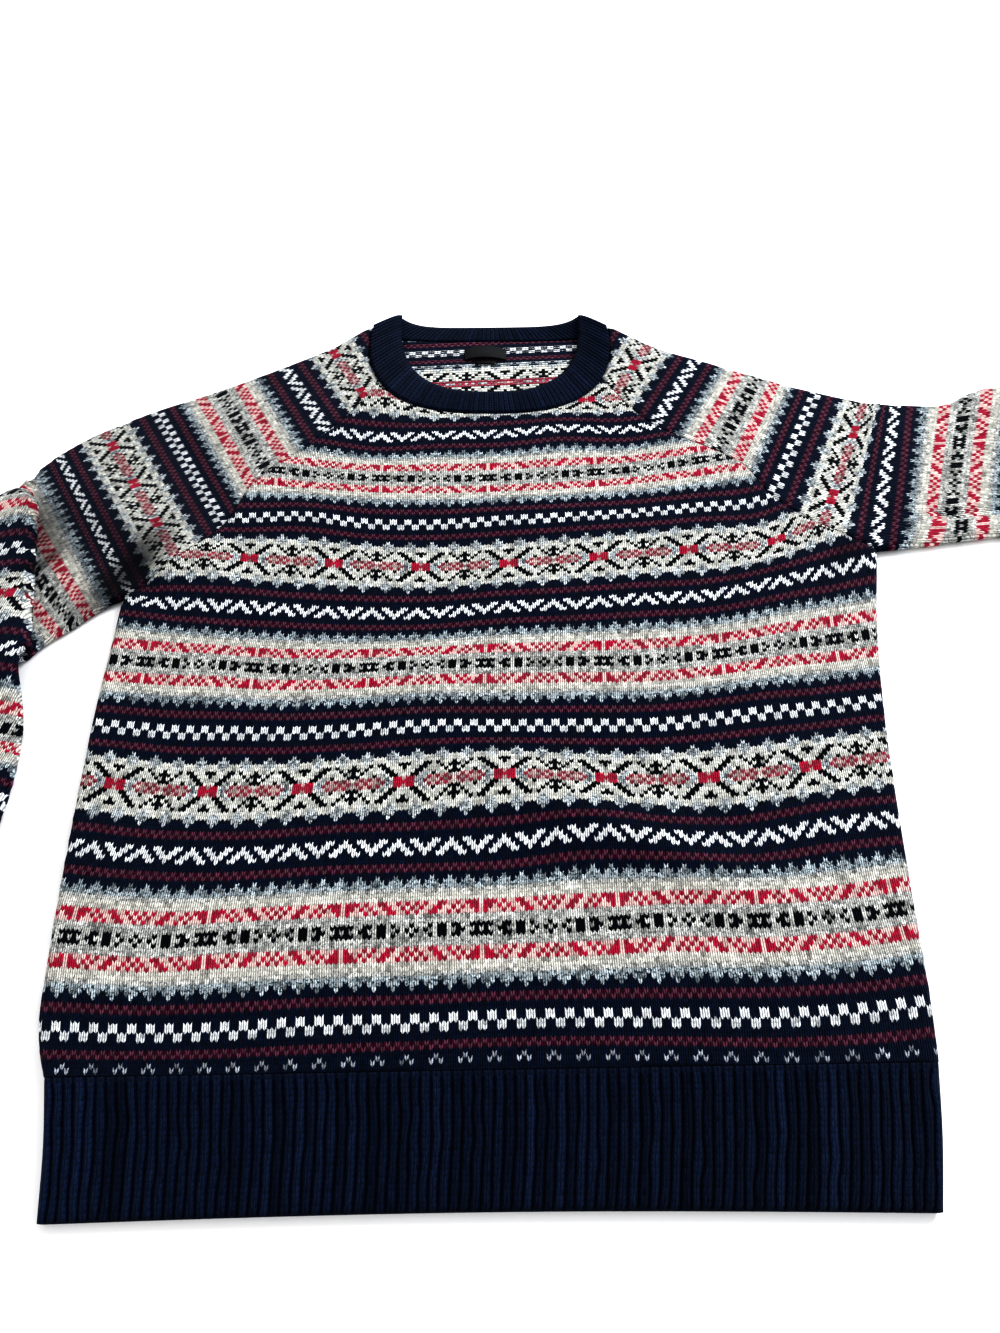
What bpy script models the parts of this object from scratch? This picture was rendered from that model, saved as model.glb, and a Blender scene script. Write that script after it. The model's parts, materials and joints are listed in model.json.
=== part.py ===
"""A fair isle jumper laid flat on its back, with its sleeves spread.

+X runs towards the wearer's left sleeve, +Y from the hem to the neck and +Z up. The origin is on the
floor, under the middle of the body. Lengths in this file are millimetres, and MM turns them to metres
where a mesh is made.

Every piece is a wall of knitted cloth. The back lies on the floor and the front on the back. A sleeve
is a tube pressed flat: rings across it run from its upper fold to its lower one. The right sleeve bends
down at the elbow, where a deep pleat takes up the cloth on the inside of the bend.
"""

import bmesh
import bpy
import numpy as np

MM = 0.001

# Cloth
WALL = 2.4
SEAM_GAP = 0.3
CURVED_SEAM_GAP = 0.55  # where straight facets face a curve, so that 0.3 is left at their middles
ARMPIT_GAP = 0.3
LAID_HEIGHT = 7.0  # two layers of cloth with air between them
LEAST_HEIGHT = 6.2

# Ribs
RIB_PITCH = 4.0
RIB_RISE = 0.6
WELT_HEIGHT = 6.4  # both layers at the hem's lower edge
WELT_STEP = 8  # outer columns to each inner column, behind the ribs
WELT_MARGIN = 0.015  # share of the width before the first rib
WELT_SAG = 3.0  # of the lower edge's middle towards the neck
CUFF_HEIGHT = 6.6
CUFF_MARGIN = 0.055
CUFF_WAIST = 1.5

# Side seams, from the welt's top up to the armpit: x, y
RIGHT_SIDE = ((-240, -292), (-250, -250), (-260, -175), (-267, -75), (-271, 35))
LEFT_SIDE = ((231, -284), (236, -252), (241, -175), (249, -75), (261, 5), (281, 82))
# The welt's side edges, from its lower edge up: x, y
RIGHT_WELT = ((-226, -359), (-232, -325), (-240, -292))
LEFT_WELT = ((217.5, -354), (225, -320), (231, -284))

# The neckband's seam and its free edge on the front are half superellipses.
NECK_X = -9.0
SHOULDER_Y = 345.0
NECK_HALF_WIDTH = 106.5
NECK_DEPTH = 110.0
NECK_POWER = 2.7
OPENING_HALF_WIDTH = 79.5
OPENING_TOP_Y = 361.0
OPENING_DEPTH = 98.0
BACK_SEAM_DROP = 16.0
BACK_EDGE_DROP = 5.0
BAND_THICKNESS = 3.5
BAND_RIBS = 134
BAND_RIB_RISE = 0.5
BAND_BEVEL = 1.4
BAND_FRONT_SHARE = 0.6  # of the ribs
BAND_TURN_STEPS = 5  # sections round the fold at each shoulder
BAND_FRONT_Z = 6.2
BAND_SHOULDER_Z = 9.5

# Raglan seams, from the armpit up to the neckband: x, y
RIGHT_RAGLAN = ((-271, 35), (-236, 74), (-208, 110), (-193, 153), (-152, 201), (-125, 236), (-104, 279))
LEFT_RAGLAN = ((281, 82), (242, 108), (211, 138), (190, 178), (130, 218), (105, 250), (86, 285))
RIGHT_BACK_RAGLAN = ((-271, 35), (-225, 105), (-160, 230), (-101, 338))
LEFT_BACK_RAGLAN = ((281, 82), (230, 140), (150, 240), (83, 338))
RAGLAN_STEPS = 9
NECK_BOW_POWER = 1.6  # how late the panels' rows take up the neck's curve
SLEEVE_TIP = (3.0, 4.2)  # the sleeve's top corner beyond the neckband's shoulder: aside, up
NECK_STEPS = 6  # points from the shoulder's tip to the raglan, of which the first two aren't used

# Rings of the right sleeve down to the elbow: upper fold x, y; lower fold x, y; share of the seam's bow
RIGHT_UPPER_ARM = (
    (-148, 322, -274, 33, 0.62),
    (-186, 297, -279, 30, 0.34),
    (-226, 272, -286, 24, 0.16),
    (-264, 247, -294, 16, 0.05),
    (-296, 224, -302, 8, 0.0),
    (-327, 201, -311, 0, 0.0),
    (-350, 183, -319, -9, 0.0),
)
# From the elbow to the wrist: upper fold x, y; lower fold x, y
RIGHT_FOREARM = (
    (-388, 125, -323, -32),
    (-411, 82, -315, -60),
    (-436, 34, -309, -92),
    (-456, -20, -307, -127),
    (-466, -80, -309, -162),
    (-466, -140, -314, -194),
    (-459, -192, -323, -220),
    (-449, -229, -335, -238),
    (-440, -244, -344, -246),
)
RIGHT_CUFF_END = (-441, -312, -350, -313)

# The elbow's pleat: its fold line from the outer to the inner elbow, and the cloth that it hides
ELBOW_OUTER = (-368, 168)
ELBOW_INNER = (-325, -18)
PLEAT_DEPTH = 42.0
PLEAT_STARTS = 0.26  # share of the fold line where the cloth has turned right over
PLEAT_HEIGHT = 5.4  # both layers, pressed
PLEAT_RADIUS = 3.0  # of the turns, at the middle of both layers
PLEAT_SETTLE = 62.0  # distance in which the forearm comes down to the floor
PLEAT_CREEP = 1.3  # between stages, where the cloth doesn't turn over
PLEAT_DEEPENS = 1.3  # power of the depth's growth along the fold line
# Stages of the pleat's path: share of the first turn, of the straight, of the second turn
PLEAT_STAGES = (
    (0.0, 0, 0.0),
    (0.25, 0, 0.0),
    (0.5, 0, 0.0),
    (0.75, 0, 0.0),
    (1.0, 0, 0.0),
    (1.0, 1, 0.0),
    (1.0, 1, 0.25),
    (1.0, 1, 0.5),
    (1.0, 1, 0.75),
    (1.0, 1, 1.0),
)

# Rings of the left sleeve: upper fold x, y; lower fold x, y; share of the seam's bow
LEFT_ARM = (
    (140, 322, 285, 83, 0.62),
    (182, 302, 291, 83, 0.34),
    (224, 282, 299, 84, 0.16),
    (262, 264, 309, 86, 0.05),
    (298, 252, 322, 88, 0.0),
    (330, 247, 338, 91, 0.0),
    (356, 245, 352, 93, 0.0),
    (377, 247, 369, 96, 0.0),
    (393, 256, 385, 98, 0.0),
    (410, 261, 402, 101, 0.0),
    (440, 264, 430, 105, 0.0),
    (485, 266, 472, 110, 0.0),
    (550, 270, 536, 121, 0.0),
    (620, 277, 608, 134, 0.0),
    (700, 285, 690, 149, 0.0),
    (758, 289, 752, 163, 0.0),
    (784, 285, 782, 178, 0.0),
    (794, 281, 793, 188, 0.0),
)
LEFT_CUFF_END = (861, 288, 860, 198)

# Broad ridges and troughs in the top layer: x, y, half length, half width, direction in degrees, rise
FOLDS = (
    (-118, 338, 30, 16, 60, 4.0),
    (100, 338, 30, 16, 120, 4.0),
    (66, -146, 80, 22, -30, 5.0),
    (128, -176, 80, 20, -26, 3.0),
    (-60, -205, 110, 26, 8, 2.6),
    (190, -20, 70, 22, 62, 3.0),
    (215, 70, 60, 16, 35, 3.2),
    (-215, 60, 70, 18, -38, 3.4),
    (-190, -40, 80, 24, -70, 2.2),
    (-120, 120, 90, 30, 10, 2.0),
    (60, 110, 110, 28, -8, 2.0),
    (-205, -190, 60, 22, 74, 2.6),
    (165, -240, 70, 20, 20, 2.0),
    (-230, 205, 60, 20, -40, 3.0),
    (-290, 120, 60, 18, -52, 3.2),
    (250, 205, 50, 20, 70, 2.6),
    (318, 165, 60, 16, 80, 3.0),
    (415, 240, 40, 30, 80, 10.0),
    (440, 140, 40, 18, 60, 3.0),
    (560, 200, 70, 24, 15, 3.0),
    (680, 215, 60, 20, -12, 2.6),
    (770, 240, 26, 30, 90, 3.2),
    (-410, -40, 60, 22, -70, 2.6),
    (-395, -150, 60, 22, 80, 2.4),
    (-395, -215, 34, 20, 5, 3.0),
)

# The bare label in the back neck, and the small tab below it
LABEL_SIZE = (37.0, 19.0)
LABEL_CENTRE = (-13.0, 318.8)
LABEL_THICKNESS = 0.9
LABEL_BULGE = 3.0
TAB_SIZE = (17.0, 5.0)
TAB_CENTRE = (-13.0, 305.8)
TAB_BULGE = 1.2

# Columns across a piece
TURN = np.radians((0.0, 45.0, 90.0))  # round a folded edge, from its outermost line inwards
NEAR_EDGES = np.array((0.01, 0.99))  # where the height of the folded edges is read
FRONT_MIDDLE = np.linspace(0.03, 0.97, 19)
BACK_MIDDLE = np.linspace(0.03, 0.97, 11)


# Lines and heights


def smooth_line(points, count):
    """Points evenly spaced along a smooth (Catmull-Rom) curve through the given ones."""
    points = np.array(points, float)
    ends = (2 * points[0] - points[1], 2 * points[-1] - points[-2])
    control = np.vstack((ends[0], points, ends[1]))
    steps = np.linspace(0, 1, 24, endpoint=False)[:, None]
    stretches = []
    for before, start, end, after in zip(control, control[1:], control[2:], control[3:]):
        slope = (end - before) * steps
        bend = (2 * before - 5 * start + 4 * end - after) * steps**2
        twist = (3 * start - before - 3 * end + after) * steps**3
        stretches.append(start + 0.5 * (slope + bend + twist))
    return evenly(np.vstack(stretches + [points[-1:]]), count)


def evenly(line, count):
    """The line again, as count points at even distances along it."""
    travelled = np.r_[0, np.cumsum(np.linalg.norm(np.diff(line, axis=0), axis=1))]
    places = np.linspace(0, travelled[-1], count)
    return np.column_stack([np.interp(places, travelled, line[:, axis]) for axis in range(line.shape[1])])


def moved_aside(line, distance):
    """The plan line moved to its left-hand side, seen along its own direction."""
    along = np.gradient(line, axis=0)
    along /= np.linalg.norm(along, axis=1)[:, None]
    return line + distance * np.column_stack((-along[:, 1], along[:, 0]))


def smooth_step(value):
    """0 below 0 and 1 above 1, with an S-shaped rise between."""
    value = np.clip(value, 0, 1)
    return value * value * (3 - 2 * value)


def laid_height(plan):
    """Height of the top layer's upper face: the laid height plus a bell-shaped rise for each fold."""
    height = np.full(len(plan), LAID_HEIGHT)
    for x, y, half_length, half_width, direction, rise in FOLDS:
        turn = np.radians(direction)
        right, up = plan[:, 0] - x, plan[:, 1] - y
        along = (right * np.cos(turn) + up * np.sin(turn)) / half_length
        across = (up * np.cos(turn) - right * np.sin(turn)) / half_width
        height += rise * np.exp(-(along**2) - across**2)
    return np.maximum(height, LEAST_HEIGHT)


def superellipse(half_width, top_y, depth, count=6000):
    """The U-shaped lower half of a superellipse round the neck, from the wearer's right to the left."""
    angle = np.linspace(-np.pi / 2, np.pi / 2, count)
    side, down = np.sin(angle), np.abs(np.cos(angle))
    x = NECK_X + half_width * np.sign(side) * np.abs(side) ** (2 / NECK_POWER)
    return np.column_stack((x, top_y - depth * down ** (2 / NECK_POWER)))


def back_neck_line(half_width, y, drop, count=3000):
    """A shallow dish across the back neck, from the wearer's right to the left."""
    side = np.linspace(-1, 1, count)
    return np.column_stack((NECK_X + half_width * side, y - drop * (1 - side**4)))


def part_of(line, start, end, count):
    """The stretch of a line between the points nearest to start and end, as count even points."""
    first = np.argmin(np.linalg.norm(line - start, axis=1))
    last = np.argmin(np.linalg.norm(line - end, axis=1))
    return evenly(line[first : last + 1] if first < last else line[last : first + 1][::-1], count)


# Meshes


def mesh_object(name, points, faces, material, collection):
    """A named object from millimetre points and faces, with its faces turned outwards."""
    mesh = bpy.data.meshes.new(name)
    mesh.from_pydata((np.asarray(points) * MM).tolist(), [], faces)
    shape = bmesh.new()
    shape.from_mesh(mesh)
    bmesh.ops.recalc_face_normals(shape, faces=shape.faces)
    shape.to_mesh(mesh)
    shape.free()
    mesh.shade_smooth()
    mesh.set_sharp_from_angle(angle=np.radians(50))
    mesh.materials.append(material)
    piece = bpy.data.objects.new(name, mesh)
    collection.objects.link(piece)
    return piece


def grid_faces(number, close_rows=False, close_columns=False):
    """Four-sided faces over a grid of point numbers."""
    rows = np.vstack((number, number[:1])) if close_rows else number
    grid = np.column_stack((rows, rows[:, :1])) if close_columns else rows
    corners = (grid[:-1, :-1], grid[:-1, 1:], grid[1:, 1:], grid[1:, :-1])
    return np.stack(corners, axis=-1).reshape(-1, 4).tolist()


def rim_faces(outer, inner, step):
    """Faces between two edges, of which the inner has one point to every step points of the outer."""
    faces = []
    for place in range(len(inner) - 1):
        outer_run = outer[place * step : (place + 1) * step + 1].tolist()
        faces.append(outer_run + [int(inner[place + 1]), int(inner[place])])
    return faces


def wall_object(name, outer, inner, tube, material, collection):
    """A wall between an outer and an inner grid of points, shaped rows by columns by 3. A tube's columns
    run round it. The inner grid may have fewer columns, an even share of the outer's."""
    outer_number = np.arange(outer.shape[0] * outer.shape[1]).reshape(outer.shape[:2])
    inner_number = outer_number.size + np.arange(inner.shape[0] * inner.shape[1]).reshape(inner.shape[:2])
    faces = grid_faces(outer_number, close_columns=tube)
    faces += [face[::-1] for face in grid_faces(inner_number, close_columns=tube)]
    if tube:
        outer_number = np.column_stack((outer_number, outer_number[:, :1]))
        inner_number = np.column_stack((inner_number, inner_number[:, :1]))
    step = (outer_number.shape[1] - 1) // (inner_number.shape[1] - 1)
    faces += rim_faces(outer_number[0], inner_number[0], step)
    faces += [face[::-1] for face in rim_faces(outer_number[-1], inner_number[-1], step)]
    if not tube:
        for column in (0, -1):
            edge = rim_faces(outer_number[:, column], inner_number[:, column], 1)
            faces += edge if column else [face[::-1] for face in edge]
    points = np.vstack((outer.reshape(-1, 3), inner.reshape(-1, 3)))
    return mesh_object(name, points, faces, material, collection)


# Rows across a panel


def row_places(length, middle, radii, inside, curl=1.0):
    """Places along a row, as shares of its length: three round each folded edge, the middle ones between.
    Inside the wall the folded edge has a smaller radius about the same centre."""
    shares = []
    for radius in radii:
        outer = radius * (1 - np.cos(TURN))
        inner = radius - (radius - WALL) * np.cos(TURN)
        shares.append((outer + curl * inside * (inner - outer)) / length)
    return np.r_[shares[0], middle, 1 - shares[1][::-1]]


def panel_row(left, right, middle, bow, upper, inside, curl, height_of=laid_height, ribs=0.0):
    """Points of one row of a flat panel. It is straight from left to right, plus bow, a displacement for
    each middle place. With curl 1 its ends turn over to meet the other layer; with 0 they stay flat."""
    places_of_bow = np.r_[0, middle, 1]
    left, right = np.array(left, float), np.array(right, float)
    length = np.linalg.norm(right - left)

    def plan_at(places):
        straight = left + (right - left) * places[:, None]
        return straight + np.column_stack([np.interp(places, places_of_bow, bow[:, axis]) for axis in (0, 1)])

    radii = height_of(plan_at(NEAR_EDGES)) / 2
    plan = plan_at(row_places(length, middle, radii, inside, curl))
    height = height_of(plan)
    rise = height - WALL if inside else height.copy()
    for radius, edge in ((radii[0], slice(0, 3)), (radii[1], slice(-1, -4, -1))):
        turned = (radius - WALL if inside else radius) * np.sin(TURN)
        curled = radius + SEAM_GAP / 2 * (1 - np.sin(TURN)) + turned
        rise[edge] += curl * (curled - rise[edge])
    if not upper:
        edges = np.r_[np.full(3, 2 * radii[0]), height[3:-3], np.full(3, 2 * radii[1])]
        rise = np.where(curl > 0, edges, height) - rise
    rise[3:-3:2] += ribs
    return np.column_stack((plan, rise))


def body_panel(name, upper, raglans, neck_line, middle, rows, material, collection):
    """The front (upper) or the back. Rows run from side to side up to the armpits, then from raglan to
    raglan, and bow more and more until the last one is the neck's seam."""
    sides = [smooth_line(side, rows) for side in (RIGHT_SIDE, LEFT_SIDE)]
    sides[0][0, 1] += SEAM_GAP / 2
    sides[1][0, 1] += SEAM_GAP / 2
    seams = [
        moved_aside(smooth_line(raglans[0], RAGLAN_STEPS + 1), -SEAM_GAP / 2)[1:],
        moved_aside(smooth_line(raglans[1], RAGLAN_STEPS + 1), SEAM_GAP / 2)[1:],
    ]
    neck = part_of(neck_line, seams[0][-1], seams[1][-1], 101)
    seams[0][-1], seams[1][-1] = neck[0], neck[-1]
    shares = np.linspace(0, 1, 101)
    at_middle = np.column_stack([np.interp(middle, shares, neck[:, axis]) for axis in (0, 1)])
    chord = neck[0] + (neck[-1] - neck[0]) * middle[:, None]
    neck_bow = np.vstack(((0, 0), at_middle - chord, (0, 0)))
    grids = []
    for inside in (False, True):
        grid = []
        for left, right in zip(*sides):
            grid.append(panel_row(left, right, middle, 0 * neck_bow, upper, inside, 1.0))
        for step, (left, right) in enumerate(zip(*seams), 1):
            bow = neck_bow * (step / RAGLAN_STEPS) ** NECK_BOW_POWER
            grid.append(panel_row(left, right, middle, bow, upper, inside, 0.0))
        grids.append(np.array(grid))
    return wall_object(name, grids[0], grids[1], False, material, collection)


def welt(name, upper, material, collection):
    """The rib welt of one layer: raised ribs on the front, a plain flat underside on the back."""
    rows = 3
    sides = [smooth_line(side, rows) for side in (RIGHT_WELT, LEFT_WELT)]
    for side in sides:
        side[-1, 1] -= SEAM_GAP / 2
    width = np.linalg.norm(sides[1][0] - sides[0][0])
    ribs = int(width / RIB_PITCH / WELT_STEP * 2) * WELT_STEP if upper else WELT_STEP
    middle = np.linspace(WELT_MARGIN, 1 - WELT_MARGIN, ribs - 5)
    grids = []
    for inside in (False, True):
        grid = []
        for row, (left, right) in enumerate(zip(*sides)):
            share = row / (rows - 1)

            def height_of(plan, share=share):
                return WELT_HEIGHT + share * (laid_height(plan) - WELT_HEIGHT)

            raised = RIB_RISE if upper and not inside else 0.0
            sag = WELT_SAG * (1 - share) * np.sin(np.pi * np.r_[0, middle, 1])
            bow = np.column_stack((0 * sag, sag))
            grid.append(panel_row(left, right, middle, bow, upper, inside, 1.0, height_of, raised))
        grids.append(np.array(grid))
    if upper:
        grids[1] = grids[1][:, ::WELT_STEP]
    return wall_object(name, grids[0], grids[1], False, material, collection)


# Rings round a sleeve


def along_points(points, places_of_points):
    """A function from shares of a ring's length to plan points on the line through the given ones."""

    def plan_at(places):
        return np.column_stack([np.interp(places, places_of_points, points[:, axis]) for axis in (0, 1)])

    return plan_at


def ring_points(top_line, under_line, middle, inside, height_of, lift=None, tilt=None, lean=(0, 0), ribs=0.0):
    """Points round a flattened tube: over its top from the upper fold to the lower one, and back
    underneath. lift raises each column's centre, and tilt turns it over towards the lean direction."""
    ends = top_line(np.array((0.0, 1.0)))
    length = np.linalg.norm(ends[1] - ends[0])
    radii = height_of(top_line(NEAR_EDGES)) / 2
    places = row_places(length, middle, radii, inside)
    top, under = top_line(places), under_line(places)
    centre = height_of(top) / 2
    half = centre - WALL if inside else centre.copy()
    for radius, edge in ((radii[0], slice(0, 3)), (radii[1], slice(-1, -4, -1))):
        centre[edge] = radius
        half[edge] = (radius - WALL if inside else radius) * np.sin(TURN)
    raised = half.copy()
    raised[3:-3:2] += ribs
    rise = centre + (lift(places) if lift else 0)
    turn = tilt(places) if tilt else np.zeros(len(places))
    slide = np.sin(turn)[:, None] * np.array(lean, float)
    over = np.column_stack((top - slide * raised[:, None], rise + np.cos(turn) * raised))
    below = np.column_stack((under + slide * half[:, None], rise - np.cos(turn) * half))
    return np.vstack((over, below[-2:0:-1]))


def seam_rings(side, raglan, back_raglan, neck_line, back_neck):
    """The sleeve's first ring: its plan points over the top and underneath, and their shares of its
    length. It starts at the shoulder, follows the neckband and then the raglan down to the armpit."""
    shoulder = np.array((NECK_X + side * (NECK_HALF_WIDTH + SLEEVE_TIP[0]), SHOULDER_Y + SLEEVE_TIP[1]))
    offset = side * SEAM_GAP / 2
    front = moved_aside(smooth_line(raglan, RAGLAN_STEPS + 1), -offset)[::-1]
    rear = moved_aside(smooth_line(back_raglan, RAGLAN_STEPS + 1), -offset)[::-1]
    tip = np.array((NECK_X + side * NECK_HALF_WIDTH, SHOULDER_Y))
    front_neck = part_of(neck_line, tip, front[0], NECK_STEPS)
    rear_neck = part_of(back_neck, tip, rear[0], NECK_STEPS - 2)
    front[-1] = rear[-1] = front[-1] + ARMPIT_GAP * np.array((side, 1.0))
    top = np.vstack((shoulder, front_neck[2:], front[1:]))
    under = np.vstack((shoulder, rear_neck, rear[1:]))
    travelled = np.r_[0, np.cumsum(np.linalg.norm(np.diff(top, axis=0), axis=1))]
    return top, under, travelled / travelled[-1]


def bowed_ring(upper, lower, bow_share, top, under, shares):
    """Plan lines of a ring between two fold points that keeps a share of the first ring's bow."""
    chord = top[0] + (top[-1] - top[0]) * shares[:, None]
    straight = np.array(upper, float) + (np.array(lower, float) - np.array(upper, float)) * shares[:, None]
    return [along_points(straight + bow_share * (line - chord), shares) for line in (top, under)]


def pleat_path(shares, stage):
    """Distance along the pleat, height and tilt for one stage: the cloth turns over by a full turn, runs
    back and turns again. Near the outer elbow it only begins to lift."""
    first, straight, second = stage
    turn = np.pi * smooth_step(shares / PLEAT_STARTS)
    depth = PLEAT_DEPTH * np.clip((shares - PLEAT_STARTS) / (1 - PLEAT_STARTS), 0, 1) ** PLEAT_DEEPENS
    run = depth + PLEAT_RADIUS * np.sin(turn * first) + straight * depth * np.cos(turn)
    rise = PLEAT_RADIUS * (1 - np.cos(turn * first)) + straight * depth * np.sin(turn)
    left = turn * (1 - second)
    run += (second > 0) * PLEAT_RADIUS * (np.sin(turn) - np.sin(left))
    rise += (second > 0) * PLEAT_RADIUS * (np.cos(left) - np.cos(turn))
    return run, rise, np.where(second > 0, left, turn * first)


def pleat_frame():
    """The pleat's fold line as its outer end and a vector along it, and the direction across it."""
    outer = np.array(ELBOW_OUTER, float)
    along = np.array(ELBOW_INNER, float) - outer
    across = np.array((along[1], -along[0])) / np.linalg.norm(along)
    return outer, along, across


def forearm_lift(plan):
    """Height of the forearm's underside: it lies on the pleat and comes down to the floor beyond it."""
    outer, along, across = pleat_frame()
    from_outer = plan - outer
    share = from_outer @ along / (along @ along)
    run = from_outer @ across
    top_run, top_rise, _ = pleat_path(np.clip(share, 0, 1), PLEAT_STAGES[-1])
    hidden = pleat_path(np.clip(share, 0, 1), PLEAT_STAGES[2])[0] + PLEAT_HEIGHT / 2
    past_side = np.maximum(run - hidden, 0)
    past_end = np.maximum(share - 1, 0) * np.linalg.norm(along)
    return top_rise * (1 - smooth_step(np.hypot(past_side, past_end) / PLEAT_SETTLE))


def sleeve(name, side, raglan, back_raglan, neck_lines, arm_rows, material, collection, pleated=False):
    """A raglan sleeve as a tube of rings. A pleated one goes on through the elbow and the forearm."""
    top, under, shares = seam_rings(side, raglan, back_raglan, *neck_lines)
    middle = shares[1:-1]
    grids = []
    for inside in (False, True):
        lines = (along_points(top, shares), along_points(under, shares))
        grid = [ring_points(*lines, middle, inside, laid_height)]
        for upper_x, upper_y, lower_x, lower_y, bow in arm_rows:
            lines = bowed_ring((upper_x, upper_y), (lower_x, lower_y), bow, top, under, shares)
            grid.append(ring_points(*lines, middle, inside, laid_height))
        if pleated:
            grid += pleat_rings(top, under, shares, inside)
            for upper_x, upper_y, lower_x, lower_y in RIGHT_FOREARM:
                lines = bowed_ring((upper_x, upper_y), (lower_x, lower_y), 0.0, top, under, shares)

                def lift(places, line=lines[0]):
                    return forearm_lift(line(places))

                grid.append(ring_points(*lines, middle, inside, laid_height, lift))
        grids.append(np.array(grid))
    return wall_object(name, grids[0], grids[1], True, material, collection)


def pleat_rings(top, under, shares, inside):
    """The rings of the elbow's pleat, one for each stage of its path."""
    across = pleat_frame()[2]
    rings = []
    for number, stage in enumerate(PLEAT_STAGES):
        creep = PLEAT_CREEP * number * (1 - smooth_step(shares / PLEAT_STARTS))
        run, _, _ = pleat_path(shares, stage)
        straight = bowed_ring(ELBOW_OUTER, ELBOW_INNER, 0.0, top, under, shares)[0](shares)
        line = along_points(straight + across * (run + creep)[:, None], shares)

        def lift(places, stage=stage):
            return pleat_path(places, stage)[1]

        def tilt(places, stage=stage):
            return pleat_path(places, stage)[2]

        def pressed(plan):
            return np.full(len(plan), PLEAT_HEIGHT)

        rings.append(ring_points(line, line, shares[1:-1], inside, pressed, lift, tilt, across))
    return rings


def cuff(name, start, end, material, collection):
    """A rib cuff: a flattened tube with raised ribs over the top and a plain underside."""
    start, end = np.array(start, float), np.array(end, float)
    seam = end - start
    seam = SEAM_GAP * seam / np.linalg.norm(seam[:2])
    start = start + seam
    width = np.linalg.norm(start[:2] - start[2:])
    ribs = 2 * int(width / RIB_PITCH) - 1
    middle = np.linspace(CUFF_MARGIN, 1 - CUFF_MARGIN, ribs)
    grids = []
    for inside in (False, True):
        grid = []
        for share in (0.0, 0.5, 1.0):
            ends = start + (end - start) * share
            waist = np.array((0.0, -CUFF_WAIST, 0.0, CUFF_WAIST)) * np.sin(np.pi * share)
            line = along_points((ends + waist).reshape(2, 2), np.array((0.0, 1.0)))

            def height_of(plan, share=share):
                return CUFF_HEIGHT + (1 - share) * (LAID_HEIGHT - CUFF_HEIGHT) + 0 * plan[:, 0]

            raised = 0.0 if inside else RIB_RISE
            grid.append(ring_points(line, line, middle, inside, height_of, ribs=raised))
        grids.append(np.array(grid))
    return wall_object(name, grids[0], grids[1], True, material, collection)


# The neckband


def band_stations():
    """Rows of the neckband's ring: seam point, edge point, height of the middle and the turn of its
    face. The front faces up (0), each shoulder turns over, and the back faces down (pi)."""
    seam = superellipse(NECK_HALF_WIDTH, SHOULDER_Y, NECK_DEPTH)
    edge = superellipse(OPENING_HALF_WIDTH, OPENING_TOP_Y, OPENING_DEPTH)
    back_seam = back_neck_line(NECK_HALF_WIDTH, SHOULDER_Y, BACK_SEAM_DROP)
    back_edge = back_neck_line(OPENING_HALF_WIDTH, OPENING_TOP_Y, BACK_EDGE_DROP)
    front_count = int(BAND_RIBS * 2 * BAND_FRONT_SHARE)
    back_count = 2 * BAND_RIBS - front_count - 2 * BAND_TURN_STEPS
    place = np.linspace(-1, 1, front_count)
    front_z = BAND_FRONT_Z + (BAND_SHOULDER_Z - BAND_FRONT_Z) * np.abs(place) ** 5
    back_z = BAND_THICKNESS / 2
    radius = (BAND_SHOULDER_Z - back_z) / 2
    turns = np.pi * np.arange(1, BAND_TURN_STEPS + 1) / (BAND_TURN_STEPS + 1)
    rows = []
    for points in zip(evenly(seam, front_count), evenly(edge, front_count), front_z):
        rows.append((*points, 0.0))
    for side, angles in ((1, turns), (-1, np.pi - turns)):
        tips = [line[-1 if side > 0 else 0] for line in (seam, edge)]
        outwards = np.array((tips[1][1] - tips[0][1], tips[0][0] - tips[1][0])) * side
        outwards /= np.linalg.norm(outwards)
        for angle in angles:
            slide = outwards * radius * np.sin(angle)
            height = back_z + radius * (1 + np.cos(angle))
            rows.append((tips[0] + slide, tips[1] + slide, height, angle))
        if side > 0:
            for points in zip(evenly(back_seam, back_count)[::-1], evenly(back_edge, back_count)[::-1]):
                rows.append((*points, back_z, np.pi))
    return rows


def neckband(material, collection):
    """The neckband: a ring of sections across the band. The face that lies upwards has the ribs."""
    sections = []
    half = BAND_THICKNESS / 2
    for number, (seam, edge, height, angle) in enumerate(band_stations()):
        width = np.linalg.norm(edge - seam)
        inwards = (edge - seam) / width
        outwards = np.array((-inwards[1], inwards[0])) * (1 if seam[0] < NECK_X else -1)
        rib = BAND_RIB_RISE * (number % 2)
        faces_up = angle < np.pi * 0.75
        above = half + (rib if faces_up else 0.0)
        below = half + (0.0 if faces_up else rib)
        # Across the section: distance from the seam, distance from the middle surface
        shoulder = width - BAND_BEVEL
        profile = ((0.0, above), (shoulder, above), (width, 0.0), (shoulder, -below), (0.0, -below))
        section = []
        for distance, off in profile:
            plan = seam + inwards * distance + outwards * off * np.sin(angle)
            section.append((*plan, height + off * np.cos(angle)))
        sections.append(section)
    points = np.array(sections)
    number = np.arange(points.shape[0] * points.shape[1]).reshape(points.shape[:2])
    faces = grid_faces(number, close_rows=True, close_columns=True)
    return mesh_object("neck_rib", points.reshape(-1, 3), faces, material, collection)


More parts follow.
